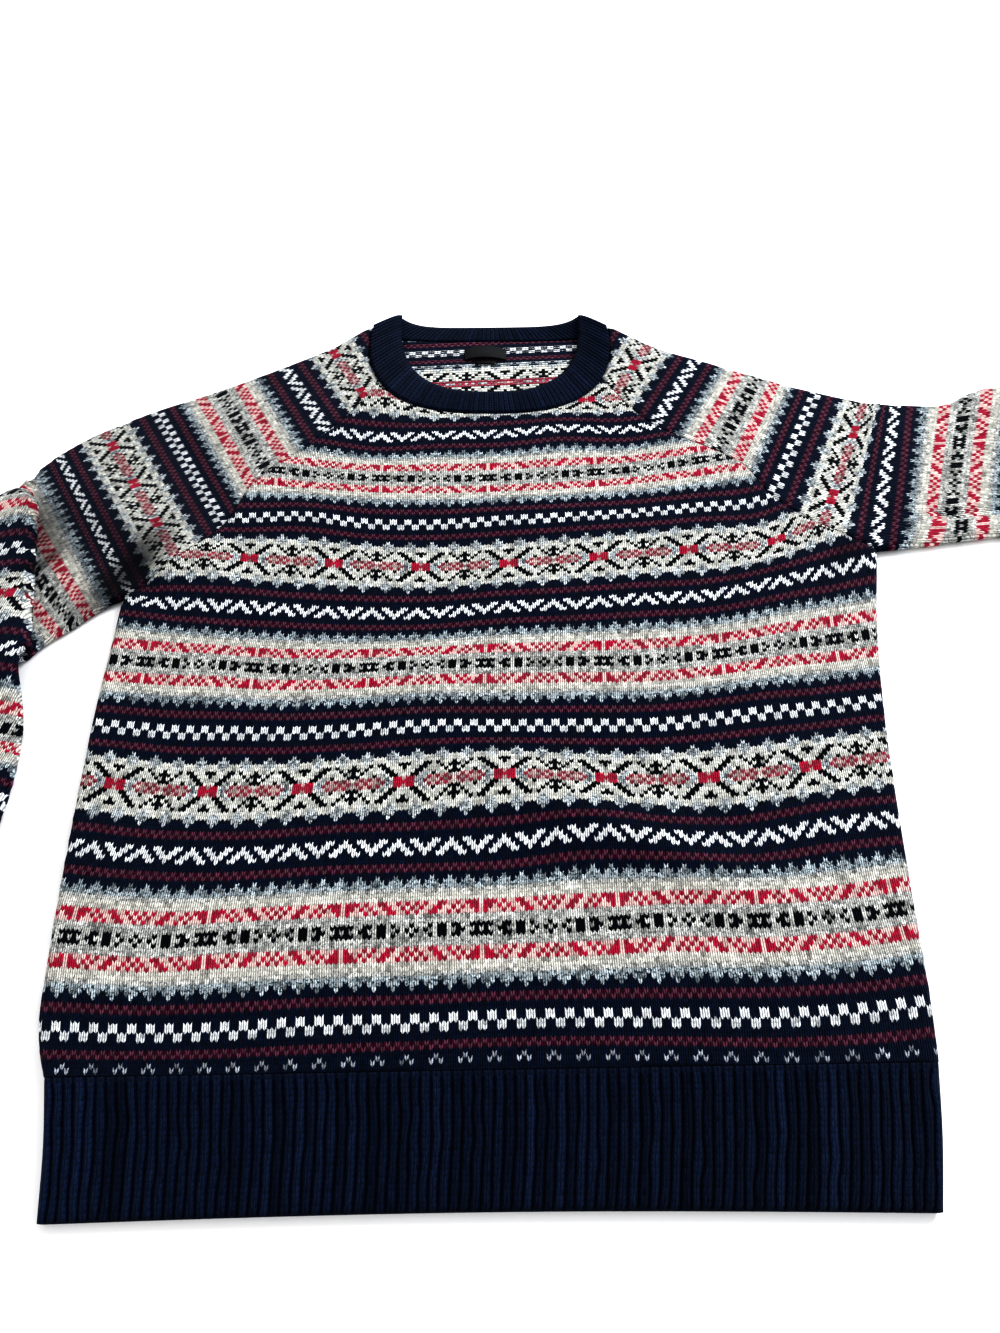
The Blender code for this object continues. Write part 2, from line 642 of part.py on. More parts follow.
def bowed_tag(name, size, centre, bulge, material, collection):
    """A small woven tag on the back panel's inner face, bulging in the middle of its lower part."""
    x = np.linspace(-0.5, 0.5, 9)
    y = np.linspace(-0.5, 0.5, 5)
    along, up = np.meshgrid(x, y)
    lift = bulge * (1 - (2 * along) ** 2) * np.clip(0.8 - up, 0, 1)
    under = WALL + SEAM_GAP + lift
    plan = (centre[0] + size[0] * along, centre[1] + size[1] * up)
    lower = np.stack((*plan, under), axis=-1)
    upper = np.stack((*plan, under + LABEL_THICKNESS), axis=-1)
    return wall_object(name, upper, lower, False, material, collection)


# The jumper


def knit_material(name, colour, roughness):
    """A plain Principled material."""
    material = bpy.data.materials.new(name)
    material.use_nodes = True
    shader = material.node_tree.nodes["Principled BSDF"]
    shader.inputs["Base Color"].default_value = (*colour, 1.0)
    shader.inputs["Roughness"].default_value = roughness
    shader.inputs["Metallic"].default_value = 0.0
    return material


def build():
    for old in list(bpy.data.objects):
        bpy.data.objects.remove(old, do_unlink=True)
    jumper = bpy.data.collections.new("fair_isle_jumper")
    bpy.context.scene.collection.children.link(jumper)
    patterned = knit_material("fair isle lambswool", (0.26, 0.24, 0.27), 0.95)
    sleeves = knit_material("fair isle lambswool, sleeves", (0.25, 0.23, 0.26), 0.95)
    navy = knit_material("navy lambswool rib", (0.010, 0.014, 0.035), 0.95)
    woven = knit_material("black woven tag", (0.008, 0.009, 0.010), 0.6)

    gap = CURVED_SEAM_GAP
    seam = superellipse(NECK_HALF_WIDTH + gap, SHOULDER_Y, NECK_DEPTH + gap)
    back_seam = back_neck_line(NECK_HALF_WIDTH + gap, SHOULDER_Y - gap, BACK_SEAM_DROP)
    front_raglans = (RIGHT_RAGLAN, LEFT_RAGLAN)
    back_raglans = (RIGHT_BACK_RAGLAN, LEFT_BACK_RAGLAN)
    body_panel("front", True, front_raglans, seam, FRONT_MIDDLE, 14, patterned, jumper)
    body_panel("back", False, back_raglans, back_seam, BACK_MIDDLE, 6, patterned, jumper)
    welt("hem_front", True, navy, jumper)
    welt("hem_back", False, navy, jumper)
    necks = (seam, back_seam)
    sleeve(
        "right_sleeve", -1, RIGHT_RAGLAN, RIGHT_BACK_RAGLAN, necks, RIGHT_UPPER_ARM, sleeves, jumper, True
    )
    sleeve("left_sleeve", 1, LEFT_RAGLAN, LEFT_BACK_RAGLAN, necks, LEFT_ARM, sleeves, jumper)
    cuff("right_cuff", RIGHT_FOREARM[-1], RIGHT_CUFF_END, navy, jumper)
    cuff("left_cuff", LEFT_ARM[-1][:4], LEFT_CUFF_END, navy, jumper)
    neckband(navy, jumper)
    bowed_tag("neck_label", LABEL_SIZE, LABEL_CENTRE, LABEL_BULGE, woven, jumper)
    bowed_tag("size_tab", TAB_SIZE, TAB_CENTRE, TAB_BULGE, woven, jumper)


build()
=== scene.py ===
# %% [markdown]
# # A fair isle jumper, laid flat
#
# A stranded lambswool jumper lies on its back on a pale floor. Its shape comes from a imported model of
# plain walls, which stays as the fixed frame. This lesson dresses that frame: each panel becomes a sheet
# with one face to a stitch, so that a knitting chart can colour it, and the ribs are really raised.
# Lengths are millimetres in the tables and functions, and MM turns them to metres in the meshes.

# %% Load the frame
import json

import bmesh
import bpy
import numpy as np
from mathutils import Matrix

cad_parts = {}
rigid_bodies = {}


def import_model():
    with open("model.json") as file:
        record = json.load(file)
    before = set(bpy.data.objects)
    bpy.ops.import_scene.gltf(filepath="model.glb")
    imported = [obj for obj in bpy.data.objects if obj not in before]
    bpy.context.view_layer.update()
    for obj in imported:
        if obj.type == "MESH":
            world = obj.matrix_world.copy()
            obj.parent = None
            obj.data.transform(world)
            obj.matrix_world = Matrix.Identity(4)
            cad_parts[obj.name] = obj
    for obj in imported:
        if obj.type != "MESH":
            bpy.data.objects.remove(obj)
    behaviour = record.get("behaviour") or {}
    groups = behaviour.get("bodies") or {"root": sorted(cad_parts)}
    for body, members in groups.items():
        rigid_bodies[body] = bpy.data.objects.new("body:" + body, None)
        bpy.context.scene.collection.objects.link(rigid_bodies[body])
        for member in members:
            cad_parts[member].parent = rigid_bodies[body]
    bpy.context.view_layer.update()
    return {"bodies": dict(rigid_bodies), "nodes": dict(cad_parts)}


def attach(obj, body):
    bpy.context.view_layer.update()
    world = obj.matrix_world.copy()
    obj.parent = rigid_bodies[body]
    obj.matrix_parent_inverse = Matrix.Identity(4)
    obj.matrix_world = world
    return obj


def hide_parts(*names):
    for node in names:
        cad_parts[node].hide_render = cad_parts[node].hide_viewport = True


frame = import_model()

MM = 0.001
BODY = "root" if "root" in str(frame["bodies"]) else list(frame["bodies"])[0]
chance = np.random.default_rng(12)
print("nodes:", ", ".join(sorted(frame["nodes"])), "| body:", BODY)

# %% [markdown]
# ## Camera and floor
#
# The camera hangs 558 mm above the floor, in front of the hem, and looks down at 54 degrees. The floor is
# one large pale plane. A broad light from the right and behind models the knit, as a window does. A faint
# warm one stands for the wall across from it, and a pale world fills the shadows.

# %% Camera, floor and lights
CAMERA_PLACE = (0.0, -425.0, 558.0)
CAMERA_PITCH = 54.1  # degrees below the horizon
CAMERA_LENS, SENSOR_WIDTH = 27.03, 36.0
LIGHTS_AIM = (0.0, 0.05, 0.0)  # metres
WORLD_COLOUR = (0.95, 0.96, 0.98, 1.0)
WORLD_STRENGTH = 0.71
FLOOR_COLOUR = (0.86, 0.86, 0.86, 1.0)
FLOOR_SIZE, FLOOR_DROP = 8.0, 0.0006  # metres. The drop keeps the floor out of the back's plane
scene = bpy.context.scene
scene_links = scene.collection.objects

camera = bpy.data.objects.new("camera", bpy.data.cameras.new("camera"))
camera.location = np.array(CAMERA_PLACE) * MM
camera.rotation_euler = (np.radians(90 - CAMERA_PITCH), 0, 0)
camera.data.lens = CAMERA_LENS
camera.data.sensor_width = SENSOR_WIDTH
scene_links.link(camera)
scene.camera = camera


def soft_light(name, place, size, power, colour):
    """A square area light at a place in metres, aimed at the middle of the jumper."""
    light = bpy.data.objects.new(name, bpy.data.lights.new(name, "AREA"))
    light.data.size = size
    light.data.energy = power
    light.data.color = colour
    light.location = place
    aim = np.subtract(LIGHTS_AIM, place)
    tilt, turn = np.arctan2(np.hypot(aim[0], aim[1]), -aim[2]), np.arctan2(aim[1], aim[0])
    light.rotation_euler = (tilt, 0, turn - np.pi / 2)
    scene_links.link(light)


# Place in metres, size, watts, colour
soft_light("window", (1.7, 1.5, 1.5), 1.2, 66, (0.95, 0.97, 1.0))
soft_light("wall", (-1.8, -0.6, 1.6), 1.8, 9, (1.0, 0.94, 0.85))
world = bpy.data.worlds.new("pale room")
world.use_nodes = True
background = world.node_tree.nodes["Background"].inputs
background["Color"].default_value = WORLD_COLOUR
background["Strength"].default_value = WORLD_STRENGTH
scene.world = world
# A strong contrast: white floor, deep navy
scene.view_settings.view_transform = "Standard"
scene.view_settings.look = "Very High Contrast"

bpy.ops.mesh.primitive_plane_add(size=FLOOR_SIZE, location=(0, 0, -FLOOR_DROP))
floor = bpy.context.object
floor.name = "floor"
print("camera at", CAMERA_PLACE, "mm, pitched", CAMERA_PITCH, "degrees down")

# %% [markdown]
# ## Shader maths as Python
#
# A material is a graph of nodes. Writing it as nodes and links is long, so one small class wraps an
# output socket, and + - * ** and > on it add Math nodes. Every other node comes from `Graph.node`.


# %% Sockets that can be added and multiplied
class Value:
    """A socket that Python's operators can work on."""

    def __init__(self, graph, socket):
        self.graph, self.socket = graph, socket

    def math(self, operation, *others, clamp=False):
        settings = {"operation": operation, "use_clamp": clamp}
        return self.graph.node("ShaderNodeMath", settings, [self, *others])

    def __rsub__(self, other):
        return self.graph.node("ShaderNodeMath", {"operation": "SUBTRACT"}, [other, self])

    def __abs__(self):
        return self.math("ABSOLUTE")


def operator(operation):
    """A method that adds a Math node of one operation."""
    return lambda value, other: value.math(operation, other)


Value.__add__ = Value.__radd__ = operator("ADD")
Value.__mul__ = Value.__rmul__ = operator("MULTIPLY")
Value.__sub__, Value.__pow__, Value.__gt__ = operator("SUBTRACT"), operator("POWER"), operator("GREATER_THAN")
print("a socket takes + - * ** > and abs()")


# %% The nodes of one material
class Graph:
    """The nodes of one material, with its Principled shader."""

    def __init__(self, name):
        self.material = bpy.data.materials.new(name)
        self.material.use_nodes = True
        self.tree = self.material.node_tree
        self.shader = self.tree.nodes["Principled BSDF"]
        self.place = self.node("ShaderNodeTexCoord", output=3)  # object coordinates

    def put(self, socket, value):
        if isinstance(value, Value):
            self.tree.links.new(value.socket, socket)
        else:
            socket.default_value = value

    def node(self, kind, settings=None, inputs=None, output=0):
        """One node: its settings first, then its sockets' values or links, by number or by name."""
        made = self.tree.nodes.new(kind)
        for key, value in (settings or {}).items():
            setattr(made, key, value)
        pairs = inputs.items() if isinstance(inputs, dict) else enumerate(inputs or [])
        for key, value in pairs:
            self.put(made.inputs[key], value)
        return Value(self, made.outputs[output])

    def finish(self, **sockets):
        """Values and links for the shader, with _ for the spaces in a socket's name."""
        for key, value in sockets.items():
            self.put(self.shader.inputs[key.replace("_", " ")], value)
        return self.material

    def mix(self, factor, first, second, blend="MIX"):
        settings = {"data_type": "RGBA", "blend_type": blend}
        return self.node("ShaderNodeMix", settings, {0: factor, 6: first, 7: second}, output=2)

    def noise(self, scale, detail=2.0, roughness=0.6):
        inputs = {"Vector": self.place, "Scale": scale, "Detail": detail, "Roughness": roughness}
        return self.node("ShaderNodeTexNoise", {}, inputs)

    def axes(self, vector):
        """The x and the y of a vector."""
        return [self.node("ShaderNodeSeparateXYZ", {}, [vector], output=axis) for axis in (0, 1)]

    def bump(self, height, strength, distance):
        return self.node("ShaderNodeBump", {}, {"Strength": strength, "Distance": distance, "Height": height})


plain = Graph("pale floor")
floor.data.materials.append(plain.finish(Base_Color=FLOOR_COLOUR, Roughness=0.9))
print("floor material made")

# %% [markdown]
# ## Yarns and the knitting chart
#
# Fair isle is knitted from a chart: each square is a stitch, and no row uses more than two yarns at a
# time. The whole jumper repeats one chart of 72 rows. Row 0 is the lowest row of white checks, and rows
# count upwards. In the strings a letter is a yarn, and a string repeats along its row.

# %% Yarns
YARNS = {
    "N": (0.008, 0.015, 0.034),  # navy
    "B": (0.050, 0.010, 0.024),  # the darker stitches of the wine rows
    "D": (0.142, 0.056, 0.086),  # wine
    "W": (0.800, 0.820, 0.830),  # white
    "V": (0.680, 0.700, 0.710),  # the duller white of the lower checks
    "M": (0.400, 0.450, 0.475),  # blue-grey marl
    "L": (0.500, 0.535, 0.550),  # lighter marl beside the crosses
    "G": (0.560, 0.560, 0.530),  # pale marl behind the black row
    "C": (0.665, 0.648, 0.588),  # cream
    "F": (0.760, 0.560, 0.520),  # cream that the red beside it tints
    "T": (0.540, 0.400, 0.375),  # the same between the crosses, among dark stitches
    "O": (0.680, 0.680, 0.630),  # off-white behind the crosses
    "R": (0.405, 0.030, 0.070),  # red
    "K": (0.004, 0.006, 0.009),  # black
    "P": (0.280, 0.050, 0.080),  # rose
    "S": (0.360, 0.380, 0.420),  # pale grey crow's feet
}
# Share of dark fibre streaks
MARLED = {"M": 1.0, "L": 0.9, "G": 0.7, "S": 0.6, "O": 0.4, "T": 0.5, "C": 0.4, "F": 0.15, "P": 0.1, "V": 0.2}
PERIOD = 72
CROSS_HALF = (
    "RRRMMPTTTPTPT",
    "TRROMOPTPTPTO",
    "OOKKOMOKOOOKK",
    "OOOKKOOOOOKOK",
    "KOOOKKOOOKOKK",
    "KKOOOKKOKOOOK",
)
RED_ROWS = (
    "FRFRFFRRFFRFRRRFRRRFRFFRRFFRFR",
    "RFRFFRRFFRFRFRRFRRFRFRFFRRFFRF",
    "FRFFRRFFRFRFFFRFRFFFRFRFFRRFFR",
)
BLACK_ROWS = ("KGGGKGKKGKKGGKKKKKGGKKGKKGKGGG", "GKGKGGKKGGKKGGKGKGGKKGGKKGGKGK")


def cross_row(offset):
    """The row of crosses at a distance from their middle row, mirrored about its first stitch."""
    half = CROSS_HALF[abs(offset)]
    return half[12:0:-1] + half[:12]


# First row, column of a string's first letter, strings from that row upwards
AXIS = -20
CHART = (
    (0, 0, ("NNVV", "NNVV", "WWNN", "WWNN", "N", "N", "DB", "BD", "N", "MNNN", "MMNM", "M", "G", "C", "C")),
    (15, AXIS, RED_ROWS),
    (18, 0, ("G", "G")),
    (20, AXIS, (BLACK_ROWS[0], BLACK_ROWS[1], BLACK_ROWS[0])),
    (23, 0, ("G", "G")),
    (25, AXIS, RED_ROWS[::-1]),
    (28, 0, ("C", "C", "G", "M", "MMNM", "MNNN", "N", "DB", "BD", "N", "N")),
    (39, 0, ("NNWWNNWNNWWN", "NWWNNWWWNNWW", "WWNNWWNWWNNW", "WNNWWNNNWWNN", "N", "N", "DB", "BD", "N")),
    (48, 0, ("NNNLNN", "NNLLLN", "OOLLLO", "OOOLOO")),
    (52, -12, tuple(cross_row(offset) for offset in range(-5, 6))),
    (63, 0, ("OOOLOO", "OOLLLO", "NNLLLN", "NNNLNN", "N", "DB", "BD", "N", "N")),
)
# Below the checks the hem has its own few rows
HEM_CHART = ((-14, 0, ("N",) * 7), (-7, 2, ("SNSNNN", "NSNNNN")), (-5, 0, ("N", "DB", "BD", "N", "N")))


def chart_letters(rows, columns):
    """The yarn letter of each stitch: a table of strings, turned and repeated to the wanted columns."""
    lines = {}
    for table in (CHART, HEM_CHART):
        for first, start, strings in table:
            for place, string in enumerate(strings):
                lines[first + place] = np.array(list(string))[(columns - start) % len(string)]
    return np.array([lines[row] if row in lines and row < 0 else lines[row % PERIOD] for row in rows])


print("chart rows:", sum(len(strings) for _, _, strings in CHART), "yarns:", len(YARNS))

# %% [markdown]
# ## The knit material
# Where the legs are low, between them and at the stitch's ends, the colour is darkened as painted shade.
#
# Stocking stitch is a field of small V shapes: each stitch has two legs that lean apart, and it stands in
# the stitch below. A map called "stitch" gives the place inside each face, 0 to 1 both ways, and each
# face carries the colours of its own stitch and of the one below. The shader raises the V's border by the
# distance from the stitch's middle, takes one colour above it and the other below, and rounds the legs.
# Marled yarn is a light strand twisted with a dark one, so fine streaks break its colour. Real loops of
# yarn could be modelled instead, but the jumper has more than a hundred thousand stitches.

# %% Knit, right side and wrong side
# A scale is in noise cells to a metre, and a depth in metres
V_SLOPE = 0.62  # how far a leg climbs, in stitches
FLOAT_SHARE = 0.78  # of a stitch's height, that the wrong side's float covers
BORDER_SCALE = 900.0
BORDER_RAGGEDNESS = 0.9
STREAK_SCALE = 650.0
STREAK_SHARPNESS = 8.0
STREAK_COLOUR = (0.05, 0.07, 0.08, 1.0)
FIBRE_SCALE = 2600.0
HAZE_SCALE = 90.0
LEG_DEPTH = 0.0011
LEG_BUMP = 0.85
FIBRE_BUMP = 0.35
END_DIP = 0.55  # of a leg's height, lost at the stitch's ends
GAP_SHOWS = 0.45  # of the yarn behind, between the legs
# Painted shade: the colour darkens where the legs' relief is low, between the legs and at the stitches' ends
SHADE = 0.44  # share of the colour that the lowest yarn keeps
LEG_SHADE, FIBRE_SHADE, HAZE_SHADE = 0.60, 0.34, 0.16


def knit_material(name, wrong_side=False):
    """Own colour where (height in the stitch - slope x distance from its middle) is above 0, else the
    colour of the stitch below. Leg height is a parabola across each leg, lowered at the stitch's ends."""
    graph = Graph(name)
    across, up = graph.axes(graph.node("ShaderNodeUVMap", {"uv_map": "stitch"}))

    def yarn(attribute, output=0):
        return graph.node("ShaderNodeAttribute", {"attribute_name": attribute}, output=output)

    streaks = graph.noise(STREAK_SCALE)
    fibres = graph.noise(FIBRE_SCALE, 3.0, 0.65)
    haze = graph.noise(HAZE_SCALE, 3.0)
    ragged = BORDER_RAGGEDNESS * (graph.noise(BORDER_SCALE) - 0.5)
    middle = abs(across * 2.0 - 1.0)
    if wrong_side:
        is_own, behind = up + ragged > FLOAT_SHARE, "reverse"
        ridge, end = abs(up * 2.0 - 1.0), middle
    else:
        climb = up - middle * V_SLOPE + ragged
        is_own, behind = climb > 0.0, "below"
        ridge, end = middle * 2.0 - 1.0, abs((climb + (1.0 - is_own)) * 2.0 - 1.0)
    leg = 1.0 - ridge * ridge
    gap = 1.0 - leg
    colour = graph.mix(is_own, yarn(behind), yarn("own"))
    marl = graph.node(
        "ShaderNodeMix", {"data_type": "FLOAT"}, {0: is_own, 2: yarn(behind, 3), 3: yarn("own", 3)}
    )
    dark = (streaks - 0.5).math("MULTIPLY", STREAK_SHARPNESS, clamp=True)
    colour = graph.mix(marl * dark, colour, STREAK_COLOUR)
    colour = graph.mix(GAP_SHOWS * gap * gap, colour, yarn("reverse"), "DARKEN")
    relief = leg * (1.0 - END_DIP * end**4)
    # Painted shade from the legs' relief, with random tone from the fibres and the haze
    shade = SHADE + LEG_SHADE * relief + FIBRE_SHADE * (fibres - 0.5) + HAZE_SHADE * (haze - 0.5)
    return graph.finish(
        Base_Color=graph.node("ShaderNodeVectorMath", {"operation": "SCALE"}, {0: colour, "Scale": shade}),
        Roughness=0.95,
        Normal=graph.bump(relief + FIBRE_BUMP * fibres, LEG_BUMP, LEG_DEPTH),
        Specular_IOR_Level=0.06,
        Sheen_Weight=0.05,
        Sheen_Roughness=0.5,
        Sheen_Tint=(0.9, 0.92, 1.0, 1),
    )


KNIT = knit_material("lambswool, right side")
PURL = knit_material("lambswool, wrong side", wrong_side=True)
print("materials:", KNIT.name, "and", PURL.name)

# %% [markdown]
# ## Curves and tables
#
# Every outline is a smooth curve through a few measured points. A table read at any place, such as the
# height of a stripe, goes through its values the same way: each stretch is a cubic whose slope at an end
# is that of the neighbours.


# %% Smooth curves
LINE_POINTS = 400


def smooth_at(knots, values, places):
    """Cubic Hermite curve through the values. Past either end it goes straight on."""
    knots, values, places = (np.asarray(part, float) for part in (knots, values, places))
    slopes = np.gradient(values, knots, axis=0)
    within = np.clip(places, knots[0], knots[-1])
    start = np.clip(np.searchsorted(knots, within, "right") - 1, 0, len(knots) - 2)
    step = knots[start + 1] - knots[start]
    share = (within - knots[start]) / step
    nearest = slopes[start + (share > 0.5)]
    wide = (-1,) + (1,) * (values.ndim - 1)
    share, step, past = (part.reshape(wide) for part in (share, step, places - within))
    curve = (1 + 2 * share) * (1 - share) ** 2 * values[start]
    curve += share**2 * (3 - 2 * share) * values[start + 1]
    curve += step * share * (1 - share) * ((1 - share) * slopes[start] - share * slopes[start + 1])
    return curve + past * nearest


def evenly(line, count):
    """The line again, as count points at even distances along it."""
    travelled = np.r_[0, np.cumsum(np.linalg.norm(np.diff(line, axis=0), axis=1))]
    places = np.linspace(0, travelled[-1], count)
    return np.column_stack([np.interp(places, travelled, line[:, axis]) for axis in range(line.shape[1])])


def smooth_line(points, count):
    """Even points along a smooth curve through the given ones."""
    points = np.array(points, float)
    fine = np.linspace(0, len(points) - 1, LINE_POINTS)
    return evenly(smooth_at(np.arange(len(points)), points, fine), count)


def smooth_step(value):
    """0 below 0 and 1 above 1, with an S-shaped rise between."""
    value = np.clip(value, 0, 1)
    return value * value * (3 - 2 * value)


def distance_from(line, x, y):
    """The shortest distance from each place to a line of straight pieces."""
    best = np.full(np.shape(x), np.inf)
    for start, end in zip(line, line[1:]):
        step = end - start
        right, up = x - start[0], y - start[1]
        share = np.clip((right * step[0] + up * step[1]) / max(step @ step, 1e-12), 0, 1)
        best = np.minimum(best, (right - share * step[0]) ** 2 + (up - share * step[1]) ** 2)
    return np.sqrt(best)


def depth_inside(outline, x, y):
    """Distance to the outline, above 0 inside it. A place is inside where a line from it to the right
    crosses the outline an odd number of times."""
    closed = np.vstack((outline, outline[:1]))
    crossings = np.zeros(np.shape(x), int)
    for start, end in zip(closed, closed[1:]):
        spans = (start[1] > y) != (end[1] > y)
        rise = end[1] - start[1]
        reach = start[0] + (y - start[1]) * (end[0] - start[0]) / (rise if rise else 1.0)
        crossings += spans & (x < reach)
    return np.where(crossings % 2 == 1, 1, -1) * distance_from(closed, x, y)


# %% [markdown]
# ## Heights of the laid cloth
#
# Two layers of cloth and the air between them lie 7 mm high. Broad folds raise the top layer, each a
# bell along and across its direction, and narrower creases add soft troughs and ridges.
# In the deepest folds the yarn's colour is darkened as painted shade.

# %% Folds and creases
WALL = 2.4
SEAM_GAP = 0.3
LAID_HEIGHT = 7.0
LEAST_HEIGHT = 6.2
# x, y, half length, half width, direction in degrees, rise
FOLDS = (
    (-118, 338, 30, 16, 60, 4.0),
    (100, 338, 30, 16, 120, 4.0),
    (66, -146, 80, 22, -30, 5.0),
    (128, -176, 80, 20, -26, 3.0),
    (-60, -205, 110, 26, 8, 2.6),
    (190, -20, 70, 22, 62, 3.0),
    (215, 70, 60, 16, 35, 3.2),
    (-215, 60, 70, 18, -38, 3.4),
    (-190, -40, 80, 24, -70, 2.2),
    (-120, 120, 90, 30, 10, 2.0),
    (60, 110, 110, 28, -8, 2.0),
    (-205, -190, 60, 22, 74, 2.6),
    (165, -240, 70, 20, 20, 2.0),
    (-230, 205, 60, 20, -40, 3.0),
    (-290, 120, 60, 18, -52, 3.2),
    (250, 205, 50, 20, 70, 2.6),
    (318, 165, 60, 16, 80, 3.0),
    (415, 240, 40, 30, 80, 10.0),
    (440, 140, 40, 18, 60, 3.0),
    (560, 200, 70, 24, 15, 3.0),
    (680, 215, 60, 20, -12, 2.6),
    (770, 240, 26, 30, 90, 3.2),
    (-410, -40, 60, 22, -70, 2.6),
    (-395, -150, 60, 22, 80, 2.4),
    (-395, -215, 34, 20, 5, 3.0),
)
CREASES = (
    (110, -120, 46, 7, -34, -1.6),
    (20, -176, 60, 8, -14, -1.2),
    (235, 40, 40, 6, 48, -1.5),
    (-240, 30, 44, 6, -44, -1.4),
    (-160, 170, 36, 6, 46, 0.9),
    (165, 175, 36, 6, -44, 0.9),
    (352, 118, 34, 5, 4, -3.0),
    (318, 180, 22, 5, 62, -1.8),
    (-266, 58, 30, 9, -58, -2.0),
    (-248, 72, 26, 8, -58, 1.8),
    (-286, 44, 26, 8, -58, 1.8),
    (325, 240, 22, 5, 62, -1.8),
    (300, 238, 20, 5, 74, -1.4),
    (-306, 214, 26, 5, -58, -1.5),
    (500, 170, 60, 7, 24, -1.5),
    (630, 190, 50, 7, -20, -1.3),
    (730, 215, 40, 6, 14, -1.2),
    (-430, 0, 46, 6, -66, -1.4),
    (-360, -110, 46, 6, 74, -1.4),
    (-420, -190, 30, 5, 20, -1.2),
)
# Painted shade in deep folds, where little light reaches the yarn. The last number is the light lost, as an
# exponent
FOLD_PAINTED_SHADE = (
    (-274, 58, 38, 13, 65, 2.0),
    (-300, 92, 40, 26, -62, 0.30),
    (-342, 102, 32, 14, -74, 0.95),
    (-337, 66, 20, 4, 64, 1.0),
    (258, 78, 20, 8, 40, 0.5),
)


print("folds:", len(FOLDS), "creases:", len(CREASES), "deep folds:", len(FOLD_PAINTED_SHADE))


# %% Height of the laid cloth
def bells(table, x, y):
    """The sum of the bell-shaped rises of a table of folds."""
    total = np.zeros(np.shape(x))
    for centre_x, centre_y, half_length, half_width, direction, rise in table:
        turn = np.radians(direction)
        right, up = x - centre_x, y - centre_y
        along = (right * np.cos(turn) + up * np.sin(turn)) / half_length
        across = (up * np.cos(turn) - right * np.sin(turn)) / half_width
        total += rise * np.exp(-(along**2) - across**2)
    return total


def laid_height(x, y):
    """Height of the top layer's upper face."""
    return np.maximum(LAID_HEIGHT + bells(FOLDS, x, y), LEAST_HEIGHT) + bells(CREASES, x, y)


def light_left(x, y):
    """The share of the light that the deep folds leave."""
    # Painted shade: the yarn colours are multiplied by this share
    return np.exp(-bells(FOLD_PAINTED_SHADE, x, y))


print(f"the cloth lies {laid_height(0.0, 0.0):.1f} mm high at the origin")

# %% [markdown]
# ## Cutting a sheet of stitches to its outline
#
# A grid has a corner at every crossing of a row and a column of stitches. `depth` says how far each
# corner is inside the piece. A face outside is dropped. A face on the border is trimmed where the depth
# passes through zero on its edges, as scissors would, so the outline stays smooth.


# %% Trim
def trim(values, depth):
    """values: rows x columns x any number. Returns the trimmed corners' values, the faces' corner
    numbers, the number of corners of each face, and the face's row and column."""
    inside = depth > 0
    rows, columns = depth.shape
    number = np.arange(rows * columns).reshape(rows, columns)

    def cut(first, second, at_first, at_second, base):
        crosses = (at_first > 0) != (at_second > 0)
        share = np.where(crosses, at_first / np.where(crosses, at_first - at_second, 1), 0.5)
        places = first + (second - first) * share[..., None]
        return places.reshape(-1, values.shape[2]), crosses, base + np.arange(share.size).reshape(share.shape)

    along = cut(values[:, :-1], values[:, 1:], depth[:, :-1], depth[:, 1:], number.size)
    upward = cut(values[:-1], values[1:], depth[:-1], depth[1:], number.size + along[2].size)
    corners = (number[:-1, :-1], number[:-1, 1:], number[1:, 1:], number[1:, :-1])
    kept = (inside[:-1, :-1], inside[:-1, 1:], inside[1:, 1:], inside[1:, :-1])
    between = (along[2][:-1], upward[2][:, 1:], along[2][1:], upward[2][:, :-1])
    crossed = (along[1][:-1], upward[1][:, 1:], along[1][1:], upward[1][:, :-1])
    ring = np.stack([part for pair in zip(corners, between) for part in pair], axis=-1)
    keep = np.stack([part for pair in zip(kept, crossed) for part in pair], axis=-1)
    faces = keep.sum(axis=-1) >= 3
    used, loops = np.unique(ring[faces][keep[faces]], return_inverse=True)
    everything = np.vstack((values.reshape(-1, values.shape[2]), along[0], upward[0]))
    return everything[used], loops.ravel(), keep[faces].sum(axis=-1), *np.nonzero(faces)


sample = trim(np.zeros((3, 3, 2)), np.array([[1.0, 1, -1]] * 3))
print("a grid of four faces, trimmed between its columns, keeps", len(sample[2]), "faces")


# %% Meshes, mends and walls
def make_mesh(name, points, loops, totals, stitch=None, yarns=None):
    """A mesh from arrays: points in millimetres, corner numbers, corners of each face, a map with two
    numbers for each corner, and colours with four numbers for each face."""
    mesh = bpy.data.meshes.new(name)
    mesh.vertices.add(len(points))
    mesh.vertices.foreach_set("co", (np.asarray(points) * MM).astype(np.float32).ravel())
    mesh.loops.add(len(loops))
    mesh.loops.foreach_set("vertex_index", np.asarray(loops, np.int32))
    mesh.polygons.add(len(totals))
    mesh.polygons.foreach_set("loop_start", np.r_[0, np.cumsum(totals)[:-1]].astype(np.int32))
    mesh.update(calc_edges=True)
    if stitch is not None:
        mesh.uv_layers.new(name="stitch").data.foreach_set("uv", stitch.astype(np.float32).ravel())
    for key, colours in (yarns or {}).items():
        layer = mesh.attributes.new(key, "FLOAT_COLOR", "FACE")
        layer.data.foreach_set("color", np.asarray(colours, np.float32).ravel())
    mesh.validate()
    mesh.shade_smooth()
    piece = bpy.data.objects.new(name, mesh)
    scene_links.link(piece)
    return piece


MERGE_DISTANCE = 0.03  # millimetres


